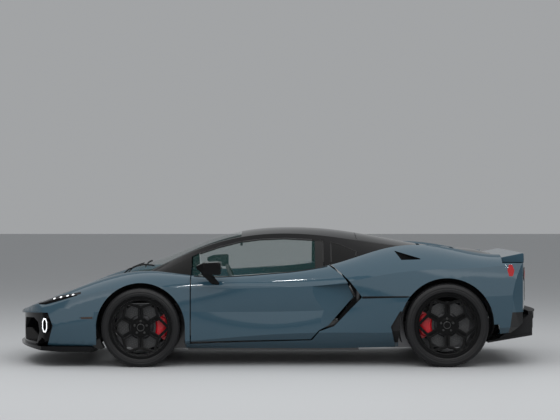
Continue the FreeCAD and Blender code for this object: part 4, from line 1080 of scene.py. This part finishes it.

# %% [markdown]
# ## Trim that follows the skin
# Seals, the belt strip under the side glass and the painted shade of the groove to the rear arch, a gloss black
# strip, all follow a panel. Their paths are drawn as seen from the side, and rays carry each point onto the panel.

# %% Skin-following strips
def skin_path(tree, points, side, lift=0.001, step=0.03):
    """The points, filled in every step and moved onto the skin, standing off it by lift."""
    path = []
    for a, b in zip(points, points[1:]):
        count = max(1, int(math.dist(a, b) / step))
        path += [(a[0] + (b[0] - a[0]) * k / count, a[1] + (b[1] - a[1]) * k / count) for k in range(count)]
    found = [on_skin(tree, x, z, side) for x, z in path + [points[-1]]]
    return [hit[0] + hit[1] * lift for hit in found if hit]


def strip(path, width, thick, shape):
    """A flat strip with rounded shoulders; width is a number, or a function of the share of its length."""
    rows = []
    for i, p in enumerate(path):
        wide = width(i / (len(path) - 1)) if callable(width) else width
        out = Vector((0.0, math.copysign(1.0, p.y), 0.0))
        ahead = (path[min(i + 1, len(path) - 1)] - path[max(i - 1, 0)]).normalized()
        up = ahead.cross(out).normalized()
        section = [(-wide / 2, -thick), (-wide / 2, 0.3 * thick), (-0.3 * wide, thick), (0.3 * wide, thick),
                   (wide / 2, 0.3 * thick), (wide / 2, -thick)]
        rows.append([p + up * u + out * v for u, v in section])
    shape.grid(rows, ring=True, caps=True)


WINDOW_EDGE = [(0.742, 0.955), (0.693, 0.972), (0.516, 1.030), (0.339, 1.074), (0.161, 1.096), (-0.060, 1.105),
               (-0.396, 1.087), (-0.396, 0.905)]
QUARTER_EDGE = [(-0.466, 0.905), (-0.466, 1.076), (-0.548, 1.051), (-0.690, 0.993), (-0.684, 0.955)]
CREASE = [(-0.694, 0.6050), (-0.900, 0.6090), (-1.128, 0.6125)]
CREASE_CLEAR = 0.016
DOOR_TOP = (0.735, -0.430)
#                             width, thickness
SEAL, BELT, FIXED_TRIM = (0.013, 0.0022), (0.011, 0.0030), (0.012, 0.0020)


def belt_line(tree, start, end, side):
    """The top edge of the door under the glass, as side points: each falls until it meets the door."""
    points = []
    for k in range(25):
        x, z = start + (end - start) * k / 24, 0.98
        while z > 0.74 and on_skin(tree, x, z, side) is None:
            z -= 0.002
        points.append((x, z - 0.005))
    return points


def over_groove(tree, points, side):
    """The path on the skin over a groove: midway between the skin's places just above and just below it."""
    over, under = (skin_path(tree, [(x, z + shift) for x, z in points], side)
                   for shift in (CREASE_CLEAR, -CREASE_CLEAR))
    return [(a + b) / 2.0 for a, b in zip(over, under)]


def crease_width(share):
    return 0.0190 - 0.0080 * share


quarters, fixed_glass = skin_of("rear_quarters"), skin_of("quarter_glass")
for side_name, side in SIDES:
    glass, door = skin_of("door_glass_" + side_name), skin_of("door_" + side_name)
    seal, fixed, line = Shape(), Shape(), Shape()
    strip(skin_path(glass, WINDOW_EDGE, side), *SEAL, seal)
    strip(skin_path(door, belt_line(door, *DOOR_TOP, side), side), *BELT, seal)
    piece("door_seal_" + side_name, seal, "trim_rubber", "door_" + side_name, slot="matt_black")
    strip(skin_path(fixed_glass, QUARTER_EDGE, side), *FIXED_TRIM, fixed)
    piece("body_trim_" + side_name, fixed, "trim_rubber", slot="matt_black")
    # a gloss black strip laid over the groove: painted shade, the dark of that gap
    strip(over_groove(quarters, CREASE, side), crease_width, 0.0018, line)
    piece("shoulder_line_" + side_name, line, "gloss_black")
print("seals, trim and shoulder lines laid:", 3 * len(SIDES))

# %% [markdown]
# ## Mirrors and wipers
# The mirror glass is a thin plate in the back of each housing, with rounded corners. Its edge is a quarter turn
# drawn at each corner of a rectangle.

# %% Mirror glass
CORNER_STEPS = 5
MIRROR_OUTLINE = ((0.984, 0.816), (1.100, 0.894), 0.014)
MIRROR_SINK, MIRROR_THICK = 0.0004, 0.003


def rounded_outline(low, high, radius):
    """The (u, v) corners of a rectangle with rounded corners."""
    points = []
    left, right, foot, top = low[0] + radius, high[0] - radius, low[1] + radius, high[1] - radius
    for quarter, (u, v) in enumerate(((right, top), (left, top), (left, foot), (right, foot))):
        for k in range(CORNER_STEPS + 1):
            turn = math.pi / 2 * (quarter + k / CORNER_STEPS)
            points.append((u + radius * math.cos(turn), v + radius * math.sin(turn)))
    return points


for side_name, side in SIDES:
    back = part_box("mirror_" + side_name)[0][0]
    glass = Shape().slab([(back + MIRROR_SINK, side * y, z) for y, z in rounded_outline(*MIRROR_OUTLINE)],
                         (MIRROR_THICK, 0.0, 0.0))
    piece("mirror_glass_" + side_name, glass, "mirror_silver", "door_" + side_name, slot="clear_glass")
print("mirror glasses:", len(SIDES))

# %% [markdown]
# The wipers rest across the foot of the windscreen: a sprung arm, and a blade whose rubber touches the glass.
# Rays sent down find the screen's surface, so both lie on its curve.

# %% Wipers
screen_skin = skin_of("windscreen")


def on_screen(x, y, lift):
    place, normal, _, _ = screen_skin.ray_cast(Vector((x, y, 2.0)), Vector((0.0, 0.0, -1.0)))
    return place + normal * (lift if normal.z > 0 else -lift) if place else Vector((x, y, 0.8))


def wiper(pivot, reach, tip_a, tip_b):
    """The arm rises from its pivot and comes down on the middle of the blade, from tip_a to tip_b."""
    arm, rubber = Shape(), Shape()
    foot = Vector(pivot)
    middle = on_screen(*reach, 0.016)
    rise = foot.lerp(middle, 0.30) + Vector((0.0, 0.0, 0.030))
    arm.tube([foot - Vector((0, 0, 0.02)), foot + Vector((0, 0, 0.012))], [0.014, 0.012], sides=16)
    arm.tube([foot + Vector((0, 0, 0.008)), rise, foot.lerp(middle, 0.75) + Vector((0, 0, 0.014)), middle],
             [0.0075, 0.0065, 0.0050, 0.0042])
    line = [[a + (b - a) * k / 12 for a, b in zip(tip_a, tip_b)] for k in range(13)]
    arm.tube([on_screen(x, y, 0.011) for x, y in line], [0.0030] + [0.0052] * 11 + [0.0030])
    rubber.tube([on_screen(x, y, 0.004) for x, y in line], 0.0036, sides=6)
    return arm, rubber


WIPERS = [((1.418, 0.215, 0.762), (1.225, 0.290), (1.105, 0.505), (1.300, 0.030)),
          ((1.418, -0.300, 0.757), (1.250, -0.190), (1.160, 0.020), (1.265, -0.450))]
arms, blades = Shape(), Shape()
for places in WIPERS:
    arm, rubber = wiper(*places)
    arms.join(arm)
    blades.join(rubber)
piece("wiper_arms", arms, "matt_black")
piece("wiper_rubbers", blades, "trim_rubber", slot="matt_black")
print("wipers:", len(WIPERS))

# %% [markdown]
# ## Tail
# The tail panel between the lamps is gloss black with a honeycomb vent on each side of the pipe. Its cells are
# set on the curved panel by rays sent forward from behind, and so are the six-sided bands round the lamps. The
# pipe is a six-sided sleeve round two round pipes, each a turned tube with a rolled lip.

# %% Tail panel and pipes
tail_skin = skin_of("rear_bumper")


def on_tail(y, z, lift):
    place, _, _, _ = tail_skin.ray_cast(Vector((-3.0, y, z)), Vector((1.0, 0.0, 0.0)))
    return None if place is None else place - Vector((lift, 0.0, 0.0))


TAIL_VENT = [(0.155, 0.560), (0.130, 0.640), (0.175, 0.745), (0.560, 0.765), (0.640, 0.690), (0.560, 0.560)]
TAIL_COMB = (0.036, 0.0030)
vents = Shape()
for _, side in SIDES:
    for outer, inner in honeycomb([(side * y, z) for y, z in TAIL_VENT], *TAIL_COMB):
        rows = [[on_tail(y, z, lift) for y, z in ring]
                for ring, lift in ((outer, -0.002), (outer, 0.003), (inner, 0.003), (inner, -0.001))]
        if all(p is not None for row in rows for p in row):
            vents.grid(rows, ring=True)
piece("tail_vents", vents, "matt_black", crease=25.0)


LAMP_Y, LAMP_Z, LAMP_SQUASH = 0.735, 0.800, 0.72


def tail_ring(side, radius, wide, shape):
    """A six-sided band on the tail panel, round a lamp."""
    section = ((radius, -0.002), (radius, 0.004), (radius - wide, 0.004), (radius - wide, -0.002))
    rings = [[on_tail(side * LAMP_Y + r * math.cos(t), LAMP_Z + LAMP_SQUASH * r * math.sin(t), lift)
              for t in turns(6)] for r, lift in section]
    if all(p is not None for row in rings for p in row):
        shape.grid(rings, ring=True)


bands, surrounds = Shape(), Shape()
for _, side in SIDES:
    tail_ring(side, 0.066, 0.013, bands)
    tail_ring(side, 0.090, 0.020, surrounds)
piece("tail_lamp_rings", bands, "lamp_red")
piece("tail_lamp_seats", surrounds, "matt_black")

PIPE_X, PIPE_Y, PIPE_Z = -2.255, 0.038, 0.640
PIPE_SECTION = [(0.031, 0.0), (0.034, 0.002), (0.034, 0.150), (0.030, 0.150), (0.030, 0.004)]
pipes = Shape()
for _, side in SIDES:
    place = Matrix(((0, 1, 0, PIPE_X), (1, 0, 0, side * PIPE_Y), (0, 0, 1, PIPE_Z), (0, 0, 0, 1)))
    pipes.join(Shape().turned(PIPE_SECTION, steps=40).moved(place))
piece("tail_pipes", pipes, "exhaust_metal")
print("tail vents:", len(vents.faces), "faces")

# %% [markdown]
# ## Small outside fittings
# A smoked marker lens lies flush ahead of each front wheel, and a tapering black lid runs along each slit lamp.
# Both are strips laid on the skin; the lid crosses from the bumper to the fender, so both panels are tried.

# %% Marker lenses and lamp lids
EYELID = [(2.095, 0.538), (2.030, 0.538), (1.940, 0.562), (1.860, 0.586), (1.780, 0.610), (1.735, 0.622)]
MARKER, MARKER_SINK, LID_LIFT = [(1.610, 0.4275), (1.708, 0.4255)], -0.002, 0.0005
bumper_skin = skin_of("front_bumper")
nose_skins = [bumper_skin, skin_of("front_fenders")]
markers, lids = Shape(), Shape()


def lid_width(share):
    return 0.006 + 0.036 * math.sin(math.pi * min(1.0, 0.10 + 0.90 * share)) ** 0.8


for _, side in SIDES:
    strip(skin_path(bumper_skin, MARKER, side, MARKER_SINK, step=0.012), 0.018, 0.0035, markers)
    path = []
    for a, b in zip(EYELID, EYELID[1:]):
        for k in range(4):
            x, z = (first + (last - first) * k / 4 for first, last in zip(a, b))
            found = next((hit for hit in (on_skin(tree, x, z, side) for tree in nose_skins) if hit), None)
            if found:
                path.append(found[0] + found[1] * LID_LIFT)
    strip(path, lid_width, 0.0010, lids)
piece("headlamp_lids", lids, "gloss_black")
piece("side_markers", markers, "lamp_amber", slot="lamp_clear")
print("markers and lids:", 2 * len(SIDES))

# %% [markdown]
# Ahead of each front wheel a rubber deflector hangs from the end of the bumper. It fills the corner between
# the lip and the wheel arch, and stays clear of the tyre at full lock.

# %% Wheel deflectors
DEFLECTOR = [(1.604, 0.222), (1.604, 0.172), (1.532, 0.152), (1.508, 0.165), (1.532, 0.205), (1.546, 0.250)]
DEFLECTOR_FROM, DEFLECTOR_TO = 0.862, 0.945
deflectors = Shape()
for _, side in SIDES:
    deflectors.slab([(x, side * DEFLECTOR_FROM, z) for x, z in DEFLECTOR],
                    (0.0, side * (DEFLECTOR_TO - DEFLECTOR_FROM), 0.0))
piece("wheel_deflectors", deflectors, "trim_rubber", slot="matt_black", bevel=0.004)
print("deflectors:", len(SIDES))

# %% [markdown]
# ## Seats
# Each bucket seat is a hard shell holding seven separate pads: cushion, back, their side bolsters and a
# headrest. A pad is foam under stretched leather, so it is made as cloth: a rounded block is remeshed evenly,
# blown up a little by pressure with gravity off, held close to where it started, then smoothed. The seams and
# sewn channels are pressed in afterwards, because the remesh would erase them.

# %% Pad tools
PAD_VOXEL = 0.006
PAD_PRESSURE = 4.0
PAD_CAP = 0.010
CHANNEL_WIDTH = 0.0055
PAD_STEPS = 20
SQUARENESS = 5.0


def rounded_block(half):
    """A closed block with soft corners, half its size given along each axis."""
    work = bmesh.new()
    bmesh.ops.create_cube(work, size=2.0)
    bmesh.ops.subdivide_edges(work, edges=work.edges, cuts=9, use_grid_fill=True)
    for vertex in work.verts:
        size = sum(abs(v) ** SQUARENESS for v in vertex.co) ** (1.0 / SQUARENESS)
        vertex.co = Vector(v / size * h for v, h in zip(vertex.co, half))
    mesh = bpy.data.meshes.new("block")
    work.to_mesh(mesh)
    work.free()
    return mesh


def applied(thing):
    """The thing's mesh with its modifiers worked in."""
    graph = bpy.context.evaluated_depsgraph_get()
    return bpy.data.meshes.new_from_object(thing.evaluated_get(graph))


def inflated(mesh):
    """Swells a pad as cloth, with no point moving further than the cap."""
    pad = placed("pad", mesh)
    modifier(pad, "REMESH", mode="VOXEL", voxel_size=PAD_VOXEL)
    even = applied(pad)
    pad.modifiers.clear()
    pad.data = even
    cloth = modifier(pad, "CLOTH")
    cloth.settings.use_pressure = True
    cloth.settings.uniform_pressure_force = PAD_PRESSURE
    cloth.settings.effector_weights.gravity = 0.0
    cloth.point_cache.frame_end = PAD_STEPS
    for step in range(1, PAD_STEPS + 1):
        bpy.context.scene.frame_set(step)
    swollen = applied(pad)
    pad.modifiers.clear()
    bpy.context.scene.frame_set(1)
    for before, after in zip(even.vertices, swollen.vertices):
        move = after.co - before.co
        if move.length > PAD_CAP:
            after.co = before.co + move.normalized() * PAD_CAP
    pad.data = swollen
    modifier(pad, "SUBSURF", levels=1, render_levels=1)
    done = applied(pad)
    bpy.data.objects.remove(pad)
    return done


def press_channels(mesh, axis, places, depth):
    """Sewn channels: narrow grooves across the upper face of the pad."""
    for vertex in mesh.vertices:
        if vertex.co.z > 0.0:
            for place in places:
                vertex.co.z -= depth * math.exp(-((vertex.co[axis] - place) / CHANNEL_WIDTH) ** 2)


print("pad tools ready")

# %% [markdown]
# Each kind of pad is made once, flat on its back, and then laid on both seats by a matrix. The cushion and the
# back carry cross channels and one down the middle; the bolsters and the headrest stay plain.

# %% Pads of the seats
SEAT_Y = 0.355
PAD_SHRINK = 0.004
CHANNEL_DEPTH, SEAM_DEPTH = 0.0035, 0.0020
#   name        half size (along, across, thick)  place (x, y from the seat's middle, z)   lean    channels
PADS = [
    ("cushion", (0.150, 0.132, 0.046), (-0.005, 0.0, 0.278), 9.0, (-0.08, -0.03, 0.02, 0.07)),
    ("cushion_bolster", (0.155, 0.036, 0.052), (-0.005, 0.170, 0.288), 9.0, ()),
    ("back", (0.215, 0.128, 0.030), (-0.300, 0.0, 0.490), -66.8, (-0.12, -0.06, 0.0, 0.06, 0.12)),
    ("back_bolster", (0.200, 0.034, 0.040), (-0.296, 0.168, 0.480), -66.8, ()),
    ("headrest", (0.062, 0.105, 0.024), (-0.416, 0.0, 0.778), -68.0, ()),
]

for name, half, place, lean, channels in PADS:
    mesh = inflated(rounded_block([h - PAD_SHRINK for h in half]))
    press_channels(mesh, 0, channels, CHANNEL_DEPTH)
    if name in ("cushion", "back"):
        press_channels(mesh, 1, (0.0,), SEAM_DEPTH)
    shape = Shape().add([v.co for v in mesh.vertices], [tuple(p.vertices) for p in mesh.polygons])
    for side_name, side in SIDES:
        for tag, offset in (("", 0.0),) if place[1] == 0.0 else (("_outer", place[1]), ("_inner", -place[1])):
            where = Matrix.Translation((place[0], side * (SEAT_Y + offset), place[2]))
            turned = shape.moved(where @ Matrix.Rotation(math.radians(-lean), 4, "Y"))
            made = piece(f"seat_{name}{tag}_{side_name}", turned, "seat_leather", crease=60.0, replaces=("seats",))
    print("pad:", name, len(mesh.polygons), "faces")

# %% [markdown]
# The shell is one thin moulding that wraps the pads from below and behind. Its cross-section is a shallow U,
# carried along the seat's side profile. Two steel rails stand between the shell and the floor.

# %% Seat shells
SHELL_LINE = [(0.150, 0.215), (0.060, 0.196), (-0.080, 0.180), (-0.215, 0.185), (-0.300, 0.270),
              (-0.375, 0.460), (-0.435, 0.640), (-0.468, 0.770), (-0.474, 0.838)]
SHELL_HALF = [0.195, 0.205, 0.212, 0.215, 0.214, 0.210, 0.195, 0.135, 0.095]
TUB_FLOOR = 0.1656
RAIL_APART, RAIL_HALF, RAIL_TOP = 0.15, 0.018, 0.186


def seat_shell(side_y):
    """The U of the cross-section at each point of the shell's line, its rims standing by the lip."""
    rows = []
    for i, ((x, z), half) in enumerate(zip(SHELL_LINE, SHELL_HALF)):
        before, after = SHELL_LINE[max(i - 1, 0)], SHELL_LINE[min(i + 1, len(SHELL_LINE) - 1)]
        ahead = Vector((after[0] - before[0], 0.0, after[1] - before[1])).normalized()
        out = Vector((-ahead.z, 0.0, ahead.x))
        if out.z > 0.0 and i < 4:
            out = -out
        lip = 0.075 if i < 7 else 0.030
        section = [(-half, lip), (-half, 0.020), (-half + 0.025, 0.0), (half - 0.025, 0.0), (half, 0.020), (half, lip),
                   (half - 0.010, lip), (half - 0.012, 0.024), (half - 0.030, 0.010), (-half + 0.030, 0.010),
                   (-half + 0.012, 0.024), (-half + 0.010, lip)]
        rows.append([Vector((x, side_y + y, z)) - out * rise for y, rise in section])
    return Shape().grid(rows, ring=True, caps=True)


for side_name, side in SIDES:
    piece("seat_shell_" + side_name, seat_shell(side * SEAT_Y), "carbon", crease=50.0, replaces=("seats",))
    rails = Shape()
    for y in (side * SEAT_Y - RAIL_APART, side * SEAT_Y + RAIL_APART):
        rails.bar(0.12, (y - RAIL_HALF, y + RAIL_HALF), (TUB_FLOOR, RAIL_TOP), -0.34)
    piece("seat_rails_" + side_name, rails, "bolt_steel", slot="cast_alloy", bevel=0.002)
print("seat shells:", len(SIDES))

# %% [markdown]
# ## Steering wheel and dash
# The rim is a tube along a ring with a flattened foot; three spokes widen into a six-sided boss. The wheel
# leans back on its column, so everything is drawn flat and laid over by one matrix.

# %% Steering wheel
WHEEL_LEAN = math.radians(68.0)
wheel_low, wheel_high = (Vector(corner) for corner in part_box("steering_wheel"))
WHEEL_MIDDLE = (0.395, (wheel_low.y + wheel_high.y) / 2.0, 0.700)
WHEEL_TURN = Matrix.Translation(WHEEL_MIDDLE) @ Matrix.Rotation(-WHEEL_LEAN, 4, "Y")
RING, GRIP, FLAT_FOOT = 0.1705, 0.0150, -0.150


def steering_rim():
    """The rim: thicker where the hands rest, its foot cut flat."""
    rows = []
    for turn in turns(72):
        p = Vector((max(RING * math.cos(turn), FLAT_FOOT), RING * math.sin(turn), 0.0))
        grip = GRIP * (1.06 if abs(p.y) > 0.12 and p.x > 0.0 else 0.94)
        rows.append([p + p.normalized() * (grip * math.cos(t)) + Vector((0, 0, 1.12 * grip * math.sin(t)))
                     for t in turns(14)])
    return Shape().grid(rows, ring=True, loop=True)


def steering_core():
    """Spokes, boss, column and the two paddles."""
    core = Shape()
    for turn, reach in ((90.0, 0.160), (-90.0, 0.160), (180.0, 0.142)):
        a = math.radians(turn)
        ahead, beside = Vector((math.cos(a), math.sin(a), 0)), Vector((-math.sin(a), math.cos(a), 0))
        spoke = []
        for share, half, high in ((0.0, 0.034, 0.006), (0.55, 0.016, 0.003), (1.0, 0.022, 0.000)):
            middle = ahead * (0.030 + (reach - 0.030) * share)
            spoke.append([middle + beside * u + Vector((0, 0, v + high)) for u, v in
                          ((-half, -0.008), (half, -0.008), (half, 0.004), (0.8 * half, 0.008), (-0.8 * half, 0.008),
                           (-half, 0.004))])
        core.grid(spoke, ring=True, caps=True)
    core.grid([[(r * math.cos(t), r * math.sin(t), z) for t in turns(6)] for r, z in
               ((0.044, -0.022), (0.050, -0.010), (0.048, 0.010), (0.040, 0.017), (0.020, 0.019))],
              ring=True, caps=True)
    core.tube([(0, 0, -0.020), (0, 0, -0.060), (0, 0, -0.070), (0, 0, -0.170)], [0.040, 0.036, 0.026, 0.026], 24)
    for _, side in SIDES:
        core.slab([(-0.030, side * 0.075, -0.030), (0.075, side * 0.085, -0.030), (0.085, side * 0.125, -0.030),
                   (-0.010, side * 0.120, -0.030)], (0.0, 0.0, -0.004))
    return core


piece("steering_rim", steering_rim().moved(WHEEL_TURN), "steering_leather", replaces=("steering_wheel",))
piece("steering_spokes", steering_core().moved(WHEEL_TURN), "matt_black", bevel=0.0012,
      replaces=("steering_wheel",))
print("steering wheel at:", WHEEL_MIDDLE)

# %% [markdown]
# The dash carries three screens, lit arcs for the dials, a hood over them and four six-sided vents; the console
# between the seats has rows of switches and a red start cover. Each is a plain slab or tube laid on the packed
# dash.

# %% Dash, screens and vents
def quad_slab(corner, across_vector, up_vector, thick):
    """A plate from one corner along two vectors."""
    c, a, u = Vector(corner), Vector(across_vector), Vector(up_vector)
    return Shape().slab([c, c + a, c + a + u, c + u], a.cross(u).normalized() * thick)


screens = Shape()
for foot, width, up, thick in (((0.556, 0.225, 0.712), 0.270, (0.066, 0.0, 0.050), -0.010),
                               ((0.430, -0.075, 0.556), 0.150, (0.110, 0.0, 0.078), -0.010),
                               ((0.556, -0.500, 0.708), 0.220, (0.030, 0.0, 0.022), -0.008)):
    screens.join(quad_slab(foot, (0.0, width, 0.0), up, thick))
piece("cabin_screens", screens, "lamp_clear", slot="matt_black", bevel=0.003)

dials = Shape()
UP_SLOPE = Vector((0.066, 0.0, 0.050)).normalized()
DIAL_OUT = Vector((-0.604, 0.0, 0.797))
ARC_WIDE, ARC_THICK = 0.003, DIAL_OUT * 0.0004
for y, radius, sweep in ((0.360, 0.026, 250.0), (0.282, 0.016, 200.0), (0.438, 0.016, 200.0)):
    middle = Vector((0.589, y, 0.737)) + DIAL_OUT * 0.0104
    for first, last in ((0.0, 0.72), (0.78, 1.0)):
        rows = []
        for k in range(19):
            turn = math.radians(-sweep / 2 + sweep * (first + (last - first) * k / 18) + 90.0)
            arm = Vector((0, 1, 0)) * math.cos(turn) + UP_SLOPE * math.sin(turn)
            edge, inner = middle + arm * radius, middle + arm * (radius - ARC_WIDE)
            rows.append([edge, inner, inner + ARC_THICK, edge + ARC_THICK])
        dials.grid(rows, ring=True, caps=True)
piece("dial_arcs", dials, "lamp_glow", slot="lamp_clear")

DASH_X, VENT_Z = 0.5598, 0.650
trim = Shape()
hood = []
for k in range(15):
    y = 0.200 + 0.320 * k / 14
    rise = 0.020 * math.sin(math.pi * k / 14) ** 0.5
    hood.append([(0.600, y, 0.744 + rise), (0.640, y, 0.770 + rise), (0.720, y, 0.772 + 0.5 * rise),
                 (0.720, y, 0.766), (0.640, y, 0.762), (0.602, y, 0.740 + 0.8 * rise)])
trim.grid(hood, ring=True, caps=True)
for y in (-0.560, -0.130, 0.130, 0.560):
    for r, lift in ((0.036, 0.010), (0.022, 0.013)):
        rows = [[(x, y + radius * math.cos(t), VENT_Z + radius * math.sin(t)) for t in turns(6)] for radius, x in
                ((r, DASH_X), (r, DASH_X - lift), (r - 0.005, DASH_X - lift), (r - 0.006, DASH_X))]
        trim.grid(rows, ring=True)
piece("dash_trim", trim, "steering_leather", slot="matt_black", bevel=0.001)

switches = Shape()
for k in range(6):
    x, z = 0.330 - 0.034 * k, 0.505 - 0.0148 * k
    for y in (-0.045, 0.0, 0.045):
        switches.join(quad_slab((x, y - 0.014, z), (0.0, 0.028, 0.0), (0.020, 0.0, 0.0087), -0.006))
piece("console_switches", switches, "matt_black", bevel=0.002)
start = Shape().tube([(0.385, 0.0, 0.525), (0.377, 0.0, 0.543)], [0.020, 0.017], sides=6)
piece("start_cover", start, "caliper_red", bevel=0.002)
print("dash dressed")

# %% [markdown]
# ## Door cards
# Inside each door a padded panel swells into an armrest and carries a red pull strap. The panel is one section
# carried along the door. The mirror under the roof hangs on a short stalk.

# %% Door cards and cabin mirror
DOOR_INSIDE = 0.7446

for side_name, side in SIDES:
    rows = []
    for k in range(17):
        x = 0.600 - 0.980 * k / 16
        top = 0.660 + 0.030 * k / 16
        swell = 0.022 * math.sin(math.pi * k / 16) ** 0.7
        rest = 0.7330 - swell
        section = [(DOOR_INSIDE, 0.440), (DOOR_INSIDE, top), (0.738, top), (0.730, top - 0.030), (0.7350, 0.585),
                   (rest, 0.555), (rest, 0.525), (0.7350, 0.505), (0.738, 0.440)]
        rows.append([(x, side * y, z) for y, z in section])
    card = Shape().grid(rows, ring=True, caps=True)
    piece("door_card_" + side_name, card, "seat_leather", "door_" + side_name)
    pull = Shape().tube([(0.160, side * 0.732, 0.625), (0.140, side * 0.712, 0.615), (0.000, side * 0.712, 0.607),
                         (-0.020, side * 0.732, 0.603)], 0.007)
    piece("door_pull_" + side_name, pull, "caliper_red", "door_" + side_name)

inner_mirror = Shape()
inner_mirror.slab([(0.330, y, z) for y, z in rounded_outline((-0.105, 1.032), (0.105, 1.080), 0.018)],
                  (0.018, 0.0, 0.0))
inner_mirror.tube([(0.346, 0.0, 1.070), (0.400, 0.0, 1.118)], 0.006)
piece("cabin_mirror", inner_mirror, "matt_black", bevel=0.002)
print("cabin fitted")

# %% [markdown]
# ## Engine
# Under the cover sits a wide-angle vee engine. It shows as two cam covers on their heads, an intake box in the
# valley with a runner to each cylinder, coil caps, and the ribbed gearbox behind.

# %% Engine dress
BANK_LEAN = math.radians(30.0)
BANK_X, BANK_Y, BANK_Z = -1.005, 0.235, 0.560


def bank_matrix(side):
    """The frame of one cylinder bank: x along the engine, y across the head, z up the bank."""
    return Matrix.Translation((BANK_X, side * BANK_Y, BANK_Z)) @ Matrix.Rotation(-side * BANK_LEAN, 4, "X")


block, covers, intake = Shape(), Shape(), Shape()
for k in range(9):
    x = -0.770 - 0.057 * k
    wide = 0.172 if k % 2 else 0.164
    block.slab([(x, -wide, TUB_FLOOR), (x, wide, TUB_FLOOR), (x, wide + 0.010, 0.440), (x, 0.10, 0.520),
                (x, -0.10, 0.520), (x, -wide - 0.010, 0.440)], (-0.0569, 0.0, 0.0))
for k in range(10):
    x = -1.252 - 0.049 * k
    half = (0.148 if k % 3 == 0 else 0.136) * (1.0 - 0.020 * k)
    top = 0.470 - 0.010 * k
    block.slab([(x, -half, TUB_FLOOR), (x, half, TUB_FLOOR), (x, half, top - 0.05), (x, 0.6 * half, top),
                (x, -0.6 * half, top), (x, -half, top - 0.05)], (-0.0489, 0.0, 0.0))
for _, side in SIDES:
    turn = bank_matrix(side)
    head = Shape().slab([(0.215, y, z) for y, z in ((-0.075, -0.11), (0.075, -0.11), (0.082, 0.02), (-0.082, 0.02))],
                        (-0.430, 0.0, 0.0))
    block.join(head.moved(turn))
    rows = []
    for share in (-1.0, -0.94, 0.94, 1.0):
        inset = 0.006 if abs(share) > 0.99 else 0.0
        x = 0.205 * share
        rows.append([(x, y, z) for y, z in ((-0.078 + inset, 0.022), (-0.078 + inset, 0.040), (-0.060, 0.060 - inset),
                                            (0.060, 0.060 - inset), (0.078 - inset, 0.040), (0.078 - inset, 0.022))])
    cover = Shape().grid(rows, ring=True, caps=True)
    for y in (-0.045, -0.027, -0.009, 0.009, 0.027, 0.045):
        cover.bar(0.185, (y - 0.003, y + 0.003), (0.058, 0.064), -0.370)
    for k in range(4):
        x = -0.150 + 0.100 * k
        cover.tube([(x, 0.0, 0.055), (x, 0.0, 0.076)], [0.017, 0.014], sides=6)
    covers.join(cover.moved(turn))
    for k in range(4):
        x = -0.855 - 0.100 * k
        intake.tube([(x, side * 0.055, 0.600), (x, side * 0.095, 0.620), (x, side * 0.140, 0.605),
                     (x, side * 0.165, 0.570)], 0.017, sides=12)
INTAKE_BOX = [(-0.800, 0.040, 0.630), (-0.815, 0.062, 0.660), (-1.190, 0.062, 0.660), (-1.205, 0.040, 0.630)]
intake.grid([[(x, -half, 0.570), (x, -half, top - 0.020), (x, -0.6 * half, top), (x, 0.6 * half, top),
              (x, half, top - 0.020), (x, half, 0.570)] for x, half, top in INTAKE_BOX], ring=True, caps=True)
for k in range(7):
    x = -0.860 - 0.048 * k
    intake.slab([(x, -0.052, 0.655), (x, 0.052, 0.655), (x, 0.046, 0.667), (x, -0.046, 0.667)], (-0.006, 0.0, 0.0))
piece("engine_case", block, "engine_iron", bevel=0.002, replaces=("engine_block",))
piece("engine_cam_covers", covers, "matt_black", bevel=0.0015, replaces=("engine_block",))
piece("engine_intake", intake, "cast_alloy", bevel=0.002, replaces=("engine_block",))
print("engine dressed")

# %% [markdown]
# ## Floor
# A plain pale floor with a soft shadow, wide enough for every camera.

# %% Floor
FLOOR_HALF = 60.0


def studio_floor():
    mesh = bpy.data.meshes.new("floor")
    mesh.from_pydata([(FLOOR_HALF * x, FLOOR_HALF * y, 0) for x, y in ((-1, -1), (1, -1), (1, 1), (-1, 1))], [],
                     [(0, 1, 2, 3)])
    finish = Finish("floor_pale")
    finish.set(base_color=(0.50, 0.51, 0.52), roughness=0.6)
    mesh.materials.append(finish.material)
    placed("floor", mesh)
    print("floor:", 2.0 * FLOOR_HALF, "m wide")


studio_floor()
